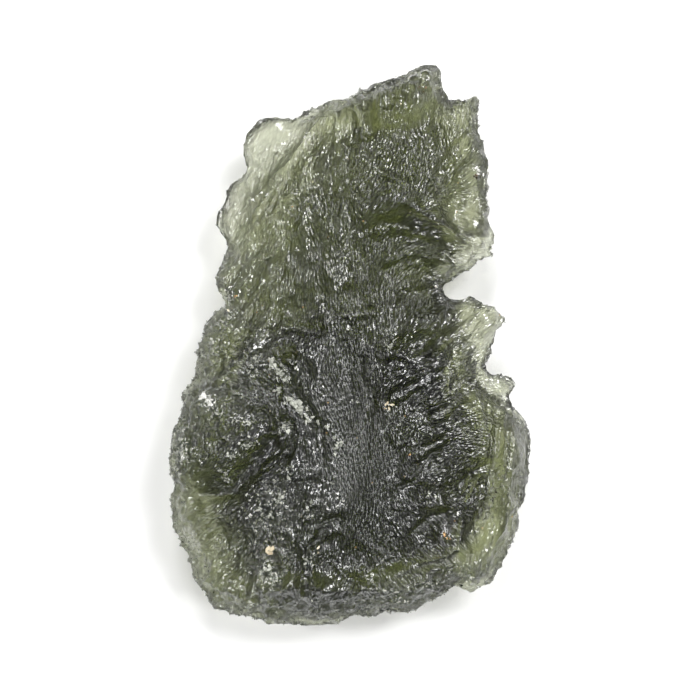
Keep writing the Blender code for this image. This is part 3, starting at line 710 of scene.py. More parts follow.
@dataclass
class StoneSkin:
    """The stone's visible surface."""

    node: bpy.types.Object
    name: str = "moldavite_stone"
    # the even mesh and its smoothing
    body_voxel: float = 0.257
    fair_rounds: int = 5            # before the finer mesh
    last_fair_rounds: int = 2       # after it
    fair_steps: Ends = (0.55, -0.57)    # a smoothing step and a step back
    finer_above: float = -0.30      # how far up a face looks, at least, to be divided
    unfold_rounds: int = 8
    unfold_step: float = 0.7
    turned_over: float = -0.15      # how far a folded point has turned
    # the forms of the upper side and the rim
    proud: float = 0.30             # how far the skin is blown up before the pits are cut
    proud_under: float = 0.15       # and how far underneath
    lump: float = 0.10              # how high its lumps are
    roll: float = 0.08              # how high its wider rolls are
    crust: float = 0.40             # how deep the crust of the frosted places is cut
    notch: float = 0.55             # how deep the notches of the rim are
    nick: float = 0.275             # how deep the smaller ones between them are
    rim_slope: float = 0.45         # how far up or down the rim looks
    rim_foot: float = 0.3           # how high above the table the rim begins
    resting: float = 0.05           # up to which height the stone lies on the table
    upper_gain: float = 2.5         # how fast the upper side begins as the skin turns up
    upper_start: float = 0.6        # how much of it upright skin has
    upper_from: float = 0.3         # from how much of it the skin counts as the upper side
    swell_gain: float = 1.6         # how fast the swells begin as the skin turns up
    looks_up: float = 0.2           # the least that the upper side looks up
    edge_reach: float = 0.85        # how far in from its outline the stone grows thinner
    edge_share: float = 0.25        # how much of the outline's thickness stays
    edge_cell: float = 0.35         # the squares that the outline is found with
    # the underside and the solid's box
    thinnest: float = 0.9           # how much glass a cave leaves
    cave_gain: float = 2.0          # how fast the caves begin as the skin turns down
    least_rise: float = 0.02        # a cave's rise that is too small to be worked out
    least_room: float = 1e-3        # the room that a cave has where the glass is thinnest
    press: float = 0.20             # how far inside the solid's box the points are pressed
    # the etching
    knob_frost: float = 0.8         # how frosted a knob is
    crust_round: float = 0.85       # how much rounder the pits of a crust are
    smoothest: float = 0.95         # how much of its pits the smoothest glass has lost
    combed_most: float = 0.8        # how much of its coarse pits a combed place has lost
    patchy: float = 0.25            # how much deeper the pits are on a lump
    under_loss: float = 0.8         # how much of their depth pits lose as the skin turns down
    under_least: float = 0.5        # how deep they are underneath
    resting_cut: float = 0.1        # how deep they are where the stone rests
    flow: GrainFlow = field(default_factory=lambda: GrainFlow(GUIDES))
    lobes: PitScale = field(default_factory=lambda: PitScale(1.7, 1.8, 0.42, 11))
    scallops: PitScale = field(default_factory=lambda: PitScale(0.85, 2.0, 0.17, 23))
    dashes: PitScale = field(default_factory=lambda: PitScale(0.42, 2.2, 0.06, 37))
    # the noises
    lumps: Lumps = Lumps(1.3, 3.0)
    rolls: Lumps = Lumps(2.6, 9.0)
    notches: Lumps = Lumps(0.62, 17.0)
    nicks: Lumps = Lumps(0.31, 5.0)
    crusts: Lumps = Lumps(0.45, 41.0)
    glints: Lumps = Lumps(0.8, 29.0)
    # what the finish reads
    crust_frost: float = 0.4        # how frosted a crust looks
    rim_frost: float = 0.9          # how frosted the rim looks
    etch_least: float = 0.9         # how deep the finest dashes are between the lumps
    etch_lumps: float = 0.5         # how much deeper they are on a lump
    glint: float = 0.55             # how much the shine varies
    shine_ends: Ends = (0.25, 1.3)
    map_steps: tuple[float, int, float, int] = (1.37, 89, 1.71, 97)

    def merged_copy(self) -> Mesh:
        """Copy the node's surface.

        Returns:
            One closed mesh, in millimetres.
        """
        mesh = self.node.data.copy()
        work = bmesh.new()
        work.from_mesh(mesh)
        bmesh.ops.remove_doubles(work, verts=work.verts, dist=1e-6)
        bmesh.ops.scale(work, vec=(1 / METRES,) * 3, verts=work.verts)
        work.to_mesh(mesh)
        work.free()
        mesh.materials.clear()
        return mesh

    def remeshed(self, mesh: Mesh) -> Mesh:
        """Give the surface an even grid of faces.

        Args:
            mesh: a closed mesh.

        Returns:
            A new mesh of the same form.
        """
        item = placed("remesh_work", mesh)
        modifier = item.modifiers.new("grid", "REMESH")
        modifier.mode = "VOXEL"
        modifier.voxel_size = self.body_voxel
        bpy.context.view_layer.update()
        graph = bpy.context.evaluated_depsgraph_get()
        result = bpy.data.meshes.new_from_object(item.evaluated_get(graph))
        bpy.data.objects.remove(item, do_unlink=True)
        return result

    def refined(self, mesh: Mesh) -> None:
        """Divide the faces of the upper side and the rim once more.

        Args:
            mesh: the even mesh, changed in place.
        """
        work = bmesh.new()
        work.from_mesh(mesh)
        work.normal_update()
        upper = [face for face in work.faces if face.normal.z > self.finer_above]
        edges = {edge for face in upper for edge in face.edges}
        bmesh.ops.subdivide_edges(work, edges=list(edges), cuts=1, use_grid_fill=True)
        work.to_mesh(mesh)
        work.free()

    def faired(self, mesh: Mesh, rounds: int) -> None:
        """Smooth the mesh without letting it shrink.

        Args:
            mesh: the mesh, changed in place.
            rounds: pairs of a smoothing step and a step back.
        """
        pairs = edge_pairs(mesh)
        points = point_rows(mesh)
        for step in self.fair_steps * rounds:
            points = points + step * (neighbour_mean(pairs, points) - points)
        move_points(mesh, points)

    def unfolded(self, mesh: Mesh, before: Rows) -> None:
        """Smooth the few places where the skin has been pushed through itself.

        Args:
            mesh: the skin, changed in place.
            before: the unit normals that it had before it was shaped.
        """
        pairs = edge_pairs(mesh)
        for _ in range(self.unfold_rounds):
            points = point_rows(mesh)
            same_way = (normal_rows(mesh) * before).sum(axis=1)
            turned = (same_way < self.turned_over).astype(float)[:, None]
            turned = np.maximum(turned, neighbour_mean(pairs, turned) > 0.0)
            step = self.unfold_step * turned
            move_points(mesh, points + step * (neighbour_mean(pairs, points) - points))

    def tapered(self, points: Rows) -> Rows:
        """Thin the stone towards its outline, so that its rim is an edge and not a wall.

        Args:
            points: the skin's points.

        Returns:
            The points, with those near the outline nearer to its middle height.
        """
        square = np.floor(points[:, :2] / self.edge_cell).astype(int)
        corner = square.min(axis=0) - 1
        square -= corner
        wide, deep = square.max(axis=0) + 2
        place = square[:, 0] * deep + square[:, 1]
        count = np.bincount(place, minlength=wide * deep)
        level = np.bincount(place, weights=points[:, 2], minlength=wide * deep)
        full = (count > 0).reshape(wide, deep)
        inner = full.copy()
        for axis in (0, 1):
            inner &= np.roll(full, 1, axis) & np.roll(full, -1, axis)
        outline = np.nonzero((full & ~inner).ravel())[0]
        tree = KDTree(len(outline))
        for number, index in enumerate(outline.tolist()):
            x, y = (np.array(divmod(index, deep)) + corner + 0.5) * self.edge_cell
            tree.insert((x, y, 0.0), number)
        tree.balance()
        moved = points.copy()
        for index, (x, y, z) in enumerate(points.tolist()):
            hits = tree.find_n((x, y, 0.0), 3)
            if hits[0][2] > self.edge_reach:
                continue
            near = outline[[hit[1] for hit in hits]]
            middle = level[near].sum() / count[near].sum()
            share = hits[0][2] / self.edge_reach
            share = share * share * (3.0 - 2.0 * share)
            kept = self.edge_share + (1 - self.edge_share) * share
            moved[index, 2] = middle + (z - middle) * kept
        return moved

    def body(self) -> Mesh:
        """The stone's plain form, before its skin is shaped.

        Returns:
            An even, smooth mesh with a thin rim, finer on the upper side.
        """
        mesh = self.remeshed(self.merged_copy())
        self.faired(mesh, self.fair_rounds)
        self.refined(mesh)
        self.faired(mesh, self.last_fair_rounds)
        move_points(mesh, self.tapered(point_rows(mesh)))
        return mesh

    def traits(self, points: Rows, normals: Rows) -> SkinTraits:
        """Find out what the skin is like from the regions and the forms.

        Args:
            points: the plain form's points.
            normals: unit normals at the points.

        Returns:
            The traits at each point.
        """
        upper = np.clip(normals[:, 2] * self.upper_gain + self.upper_start, 0.0, 1.0)
        knobs = total(tuple(replace(knob, amount=1.0) for knob in KNOBS), points)
        frost = np.clip(total(FROSTED, points) + self.knob_frost * knobs, 0.0, 1.0)
        bare = sum(furrow.bare * furrow.share(points) for furrow in FURROWS)
        bare += sum(facet.share(points) for facet in FACETS)
        smooth = np.clip(total(SMOOTH, points) + bare, 0.0, self.smoothest) * upper
        upright = np.exp(-((normals[:, 2] / self.rim_slope) ** 2))
        rim = upright * (points[:, 2] > self.rim_foot)
        resting = points[:, 2] < self.resting
        return SkinTraits(upper, resting, frost, smooth, rim, self.lumps.at(points))

    def relief(self, points: Rows) -> Rows:
        """The height of the forms of the upper side, positive outwards."""
        height = sum(furrow.height * furrow.share(points) for furrow in FURROWS)
        return height + total(KNOBS, points) - total(HOLLOWS, points)

    def shaped(self, points: Rows, normals: Rows, traits: SkinTraits) -> Rows:
        """Blow the skin up a little and give it its forms, its crust and its notched rim.

        Args:
            points: the plain form's points.
            normals: unit normals at the points.
            traits: what the skin is like.

        Returns:
            The skin's points before the etching.
        """
        height = self.relief(points) * traits.upper
        height += np.where(traits.upper > self.upper_from, self.proud, self.proud_under)
        bumps = self.lump * traits.lumps * (1.0 - traits.smooth)
        height += bumps + self.roll * self.rolls.at(points)
        height -= self.notch * traits.rim * np.abs(self.notches.at(points))
        height -= self.nick * traits.rim * np.abs(self.nicks.at(points))
        height -= self.crust * traits.frost * traits.upper * np.abs(self.crusts.at(points))
        points = points + normals * np.where(traits.resting, 0.0, height)[:, None]
        facing = np.clip(normals[:, 2] * self.swell_gain, 0.0, 1.0)
        points[:, 2] += total(SWELLS, points) * facing
        return points

    def strength(self, normals: Rows, traits: SkinTraits, combed: Rows) -> Rows:
        """How deep the pits are beside their full depth.

        Args:
            normals: unit normals of the shaped skin.
            traits: what the skin is like.
            combed: 1 where there are only fine dashes.

        Returns:
            One factor a point.
        """
        strength = (1.0 - traits.smooth) * (1.0 - combed) * (1.0 + self.patchy * traits.lumps)
        return strength * np.clip(1.0 + self.under_loss * normals[:, 2], self.under_least, 1.0)

    def hollowed(self, points: Rows, normals: Rows) -> Rows:
        """Raise the underside in the caves, and leave glass above them.

        Args:
            points: the skin's points.
            normals: unit normals at the points.

        Returns:
            The points, with the underside raised, or lowered where a cave's amount is
            below 0.
        """
        tree = top_tree(points, np.nonzero(normals[:, 2] > self.looks_up)[0])
        rise = total(CAVES, points) * np.clip(-normals[:, 2] * self.cave_gain, 0.0, 1.0)
        moved = points.copy()
        for index in np.nonzero(rise > self.least_rise)[0].tolist():
            above = tree.find((points[index, 0], points[index, 1], 0.0))[1]
            room = max(points[above, 2] - points[index, 2] - self.thinnest, 0.0)
            share = 1.0 - math.exp(-rise[index] / max(room, self.least_room))
            moved[index, 2] += room * share
        lowered = np.maximum(moved[:, 2] + rise, 0.0)
        moved[:, 2] = np.where(rise < 0.0, lowered, moved[:, 2])
        return moved

    def held_in(self, points: Rows) -> Rows:
        """Press the points softly into the solid's box.

        Args:
            points: the skin's points.

        Returns:
            Points inside the box, with no flat spots where they meet it.
        """
        lowest, highest = (np.array(corner) / METRES for corner in CAD_BOX)
        over = points - (highest - self.press)
        points = np.where(over > 0.0, highest - self.press * np.exp(-over / self.press), points)
        under = (lowest + self.press) - points
        soft = lowest + self.press * np.exp(-under / self.press)
        soft[:, 2] = np.maximum(points[:, 2], 0.0)
        return np.where(under > 0.0, soft, points)

    def build(self) -> bpy.types.Object:
        """Make the skin and its attributes.

        Returns:
            The finished stone, in metres.
        """
        mesh = self.body()
        plain_normals = normal_rows(mesh)
        traits = self.traits(point_rows(mesh), plain_normals)
        calm = 1.0 - self.crust_round * traits.frost
        points = self.shaped(point_rows(mesh), plain_normals, traits)
        move_points(mesh, points)
        normals = normal_rows(mesh)
        combed = np.clip(total(COMBED, points), 0.0, self.combed_most)
        strength = self.strength(normals, traits, combed)

        tangents = self.flow.tangents(points, normals)
        deep, _ = self.lobes.carve(points, normals, tangents, calm)
        points = points - normals * np.where(traits.resting, 0.0, deep * strength)[:, None]
        flakes = sum(facet.cut(points) for facet in FACETS)
        points[:, 2] -= flakes * (normals[:, 2] > self.looks_up)
        move_points(mesh, points)
        normals = normal_rows(mesh)

        tangents = self.flow.tangents(points, normals)
        middle, owner = self.scallops.carve(points, normals, tangents, calm)
        fine, _ = self.dashes.carve(points, normals, tangents, calm)
        cut = (middle + fine) * strength
        cut = np.where(traits.resting, self.resting_cut * cut, cut)
        etched = points - normals * cut[:, None]
        move_points(mesh, self.hollowed(etched, normals))
        self.unfolded(mesh, plain_normals)
        move_points(mesh, self.held_in(point_rows(mesh)))

        self.add_flow_map(mesh, points, normals, tangents, owner)
        frost = self.crust_frost * traits.frost + self.rim_frost * traits.rim
        add_value(mesh, "frost", np.clip(frost, 0.0, 1.0))
        etch = (1.0 - traits.smooth) * (self.etch_least + self.etch_lumps * traits.lumps)
        add_value(mesh, "etch", np.clip(etch + combed, 0.0, 1.0))
        shine = 1.0 + total(SHINE, etched) + self.glint * self.glints.at(etched)
        add_value(mesh, "shine", np.clip(shine, *self.shine_ends))
        return self.finished(mesh)

    def add_flow_map(
        self,
        mesh: Mesh,
        points: Rows,
        normals: Rows,
        tangents: Rows,
        owner: Rows,
    ) -> None:
        """Lay a map over the skin whose first axis runs along the grain.

        Each scallop has a straight piece of the map of its own, shifted by a step that
        depends on the scallop, so that neighbours don't repeat each other.

        Args:
            mesh: the skin.
            points: its points before the scallops were cut.
            normals: unit normals at the points.
            tangents: the grain's direction at each point.
            owner: the index of each point's scallop middle.
        """
        starts = np.empty(len(mesh.polygons), dtype=int)
        sizes = np.empty(len(mesh.polygons), dtype=int)
        corners = np.empty(len(mesh.loops), dtype=int)
        mesh.polygons.foreach_get("loop_start", starts)
        mesh.polygons.foreach_get("loop_total", sizes)
        mesh.loops.foreach_get("vertex_index", corners)
        middles = np.repeat(owner[corners[starts]], sizes)
        across = np.cross(normals, tangents)
        gap = points[corners] - points[middles]
        along_step, along_count, across_step, across_count = self.map_steps
        along_map = (gap * tangents[middles]).sum(axis=1) + along_step * (middles % along_count)
        across_map = (gap * across[middles]).sum(axis=1) + across_step * (middles % across_count)
        layer = mesh.uv_layers.new(name=FLOW_MAP)
        layer.data.foreach_set("uv", np.stack([along_map, across_map], axis=1).ravel())

    def finished(self, mesh: Mesh) -> bpy.types.Object:
        """Turn the skin into metres, shade it smooth and make it an object.

        Args:
            mesh: the skin, in millimetres.

        Returns:
            The stone.
        """
        mesh.transform(Matrix.Scale(METRES, 4))
        mesh.name = self.name
        mesh.shade_smooth()
        return placed(self.name, mesh)


# ------------------------------------------------------------------ finishes


def set_inputs(tree: Tree, node: bpy.types.Node, inputs: Inputs) -> None:
    """Set a node's inputs.

    Args:
        tree: the node's tree.
        node: the node.
        inputs: for each input a value, or the socket that it is joined to.
    """
    for key, value in inputs.items():
        if isinstance(value, Socket):
            tree.links.new(value, node.inputs[key])
        else:
            node.inputs[key].default_value = value


def add_node(tree: Tree, kind: str, inputs: Inputs, **settings: object) -> bpy.types.Node:
    """Add a node to a tree.

    Args:
        tree: the tree.
        kind: the node's type.
        inputs: for each input a value, or the socket that it is joined to.
        **settings: the node's own settings.

    Returns:
        The node.
    """
    node = tree.nodes.new(kind)
    for key, value in settings.items():
        setattr(node, key, value)
    set_inputs(tree, node, inputs)
    return node


def stored(tree: Tree, name: str) -> Socket:
    """The value that the mesh stores under a name."""
    return add_node(tree, "ShaderNodeAttribute", {}, attribute_name=name).outputs["Fac"]


def speckle(tree: Tree, scale: float, detail: float = 2.0) -> Socket:
    """Noise that stays with the piece.

    Args:
        tree: the finish's nodes.
        scale: how many of its lumps go into a metre.
        detail: how much finer noise lies over it.

    Returns:
        Values around one half.
    """
    where = add_node(tree, "ShaderNodeTexCoord", {}).outputs["Object"]
    inputs = {"Vector": where, "Scale": scale, "Detail": detail}
    return add_node(tree, "ShaderNodeTexNoise", inputs).outputs["Fac"]


def carried(
    tree: Tree,
    value: Socket,
    source: Ends,
    result: tuple[float | Socket, float],
) -> Socket:
    """A value carried from one pair of ends to another.

    Args:
        tree: the finish's nodes.
        value: the value.
        source: the ends that it lies between.
        result: what they become.

    Returns:
        The new value, which stays between the new ends.
    """
    inputs = {"Value": value, "From Min": source[0], "From Max": source[1]}
    inputs |= {"To Min": result[0], "To Max": result[1]}
    return add_node(tree, "ShaderNodeMapRange", inputs).outputs["Result"]


def toned(
    tree: Tree,
    value: Socket,
    first: tuple[float, Colour],
    last: tuple[float, Colour],
) -> Socket:
    """A colour that changes with a value.

    Args:
        tree: the finish's nodes.
        value: the value.
        first: the value up to which the first colour holds, and that colour.
        last: the value from which the last colour holds, and that colour.

    Returns:
        The colour.
    """
    ramp = add_node(tree, "ShaderNodeValToRGB", {"Fac": value})
    for stop, (position, colour) in zip(ramp.color_ramp.elements, (first, last)):
        stop.position = position
        stop.color = colour
    return ramp.outputs["Color"]


def new_material(name: str) -> bpy.types.Material:
    """Make a material with its usual shader.

    Args:
        name: what to call it.

    Returns:
        The material.
    """
    material = bpy.data.materials.new(name)
    material.use_nodes = True
    return material


@dataclass(frozen=True)
class GlassFinish:
    """Clear olive glass with an etched, partly frosted skin."""

    name: str = "etched_olive_glass"
    ior: float = 1.49
    absorb_colour: Colour = (0.435, 0.475, 0.12, 1.0)
    absorb_density: float = 485.0
    clear_rough: float = 0.29
    frost_rough: float = 0.60
    patchy_rough: float = 0.06          # what the patches add
    patch_scale: float = 900.0
    patch_ends: Ends = (0.35, 0.70)
    skin_ior: float = 1.72
    # The second end is painted shade: the glass is coloured darker in the gaps between the dashes.
    skin_gloss: Ends = (1.0, 0.12)      # on a dash, between the dashes
    painted_gap_shade: Ends = (1.0, 0.64)       # on a dash, between the dashes
    skin_rough: float = 0.12
    dash_pitch: float = 0.19
    dash_stretch: float = 2.4
    dash_depth: float = 0.09
    dash_order: float = 0.85            # how far the dashes stray from even rows
    dash_round: float = 1.2             # the power that shapes a dash's bowl
    dash_ends: Ends = (0.25, 0.70)      # how far from its middle a dash fades away
    frost_depth: float = 0.03
    frost_scale: float = 5500.0
    cloud_scale: float = 260.0
    cool_cloud: tuple[float, Colour] = (0.35, (0.93, 0.95, 0.86, 1.0))
    warm_cloud: tuple[float, Colour] = (0.65, (1.0, 1.0, 0.97, 1.0))

    def material(self) -> bpy.types.Material:
        """Build the finish.

        Returns:
            The material, which reads the skin's flow map and attributes.
        """
        material = new_material(self.name)
        tree = material.node_tree
        cells = self.cells(tree)
        etched = self.etching(tree, cells)
        parts = {0: self.between(tree, cells, self.skin_gloss), 1: stored(tree, "shine")}
        gloss = add_node(tree, "ShaderNodeMath", parts, operation="MULTIPLY", use_clamp=True)
        skin = {
            "IOR": self.ior,
            "Transmission Weight": 1.0,
            "Base Color": self.tint_and_gap_shade(tree, cells),
            "Roughness": self.roughness(tree),
            "Normal": etched,
            "Coat Weight": gloss.outputs["Value"],
            "Coat Roughness": self.skin_rough,
            "Coat IOR": self.skin_ior,
            "Coat Normal": etched,
        }
        set_inputs(tree, tree.nodes["Principled BSDF"], skin)
        olive = {"Color": self.absorb_colour, "Density": self.absorb_density}
        body = add_node(tree, "ShaderNodeVolumeAbsorption", olive)
        set_inputs(tree, tree.nodes["Material Output"], {"Volume": body.outputs["Volume"]})
        return material

    def roughness(self, tree: Tree) -> Socket:
        """Rough where the skin is frosted, clearer in the smooth grooves.

        Args:
            tree: the finish's nodes.

        Returns:
            The roughness.
        """
        ends = (self.clear_rough, self.frost_rough)
        spread = carried(tree, stored(tree, "frost"), (0.0, 1.0), ends)
        patches = speckle(tree, self.patch_scale)
        vary = carried(tree, patches, self.patch_ends, (0.0, self.patchy_rough))
        both = add_node(tree, "ShaderNodeMath", {0: spread, 1: vary}, operation="ADD")
        return both.outputs["Value"]

    def cells(self, tree: Tree) -> Socket:
        """Lay the finest dashes out on the flow map.

        Args:
            tree: the finish's nodes.

        Returns:
            How far a point is from the middle of its dash.
        """
        flow = add_node(tree, "ShaderNodeUVMap", {}, uv_map=FLOW_MAP).outputs["UV"]
        pitch = 1.0 / self.dash_pitch
        size = {"Vector": flow, "Scale": (pitch / self.dash_stretch, pitch, 1.0)}
        place = add_node(tree, "ShaderNodeMapping", size).outputs["Vector"]
        rows = {"Vector": place, "Scale": 1.0, "Randomness": self.dash_order}
        cells = add_node(tree, "ShaderNodeTexVoronoi", rows, voronoi_dimensions="2D")
        return cells.outputs["Distance"]

    def between(self, tree: Tree, cells: Socket, ends: Ends) -> Socket:
        """A value that goes from the first end on a dash to the second between dashes."""
        return carried(tree, cells, self.dash_ends, ends)

    def tint_and_gap_shade(self, tree: Tree, cells: Socket) -> Socket:
        """Almost white, warmer and cooler from place to place, with painted shade that darkens the
        glass between the dashes.

        Args:
            tree: the finish's nodes.
            cells: how far a point is from the middle of its dash.

        Returns:
            The colour.
        """
        clouds = speckle(tree, self.cloud_scale, 3.0)
        colour = toned(tree, clouds, self.cool_cloud, self.warm_cloud)
        # The painted shade between the dashes; where the skin is frosted it goes back to the full
        # tint.
        clear = self.between(tree, cells, self.painted_gap_shade)
        even = carried(tree, stored(tree, "frost"), (0.0, 1.0), (clear, 1.0))
        parts = {"Vector": colour, "Scale": even}
        return add_node(tree, "ShaderNodeVectorMath", parts, operation="SCALE").outputs["Vector"]

    def etching(self, tree: Tree, cells: Socket) -> Socket:
        """The finest dashes, along the grain, and a fine grain where the skin is frosted.

        Args:
            tree: the finish's nodes.
            cells: how far a point is from the middle of its dash.

        Returns:
            The skin's normal.
        """
        parts = {0: cells, 1: self.dash_round}
        bowl = add_node(tree, "ShaderNodeMath", parts, operation="POWER").outputs["Value"]
        dashes = {
            "Strength": stored(tree, "etch"),
            "Distance": self.dash_depth * METRES,
            "Height": bowl,
        }
        frost = {
            "Strength": stored(tree, "frost"),
            "Distance": self.frost_depth * METRES,
            "Height": speckle(tree, self.frost_scale, 1.0),
            "Normal": add_node(tree, "ShaderNodeBump", dashes).outputs["Normal"],
        }
        return add_node(tree, "ShaderNodeBump", frost).outputs["Normal"]


@dataclass(frozen=True)
class DirtFinish:
    """A dull, grainy finish that goes from a dark tone to a pale one by the piece's tone."""

    name: str
    dark: Colour
    pale: Colour
    rough: float = 0.6
    grain_scale: float = 16000.0
    grain: float = 0.5       # how much of the tone is grain

    def material(self) -> bpy.types.Material:
        """Build the finish.

        Returns:
            The material, which reads the piece's tone and object coordinates.
        """
        material = new_material(self.name)
        tree = material.node_tree
        tone = {0: stored(tree, "tone"), 1: 0.5 * self.grain}
        middle = add_node(tree, "ShaderNodeMath", tone, operation="SUBTRACT").outputs["Value"]
        mixed = {0: speckle(tree, self.grain_scale), 1: self.grain, 2: middle}
        shade = add_node(tree, "ShaderNodeMath", mixed, operation="MULTIPLY_ADD")
        colour = toned(tree, shade.outputs["Value"], (0.0, self.dark), (1.0, self.pale))
        surface = {"Base Color": colour, "Roughness": self.rough}
        set_inputs(tree, tree.nodes["Principled BSDF"], surface)
        return material


# ------------------------------------------------------------------ crumbs and dirt


class Dirt(Enum):
    """What a loose bit is made of."""

    CRUMB = DirtFinish("frosted_crumbs", (0.07, 0.08, 0.06, 1), (0.46, 0.47, 0.41, 1), 0.35)
    FROST = DirtFinish("frosted_edges", (0.14, 0.15, 0.12, 1), (0.50, 0.51, 0.45, 1), 0.5)
    # White crumbs of a sugary crust; at two places they are painted highlights, set where a facet
    # glints.
    SUGAR_AND_GLINT = DirtFinish("sugary_crumbs_and_painted_glints", (0.50, 0.50, 0.46, 1), (0.95, 0.95, 0.90, 1), 0.4)
    CLAY = DirtFinish("pale_clay", (0.42, 0.33, 0.20, 1), (0.86, 0.80, 0.62, 1), 0.9)
    SAND = DirtFinish("orange_sand", (0.34, 0.18, 0.07, 1), (0.72, 0.47, 0.22, 1), 0.8)
    SOIL = DirtFinish("brown_soil", (0.05, 0.04, 0.03, 1), (0.22, 0.16, 0.10, 1), 0.9)


@dataclass(frozen=True)
class Speck:
    """A place where dirt has stayed in the pits."""

    kind: Dirt
    x: float
    y: float
    spread: float            # how far from its middle its bits lie
    size: float              # a bit's radius
    count: int = 1


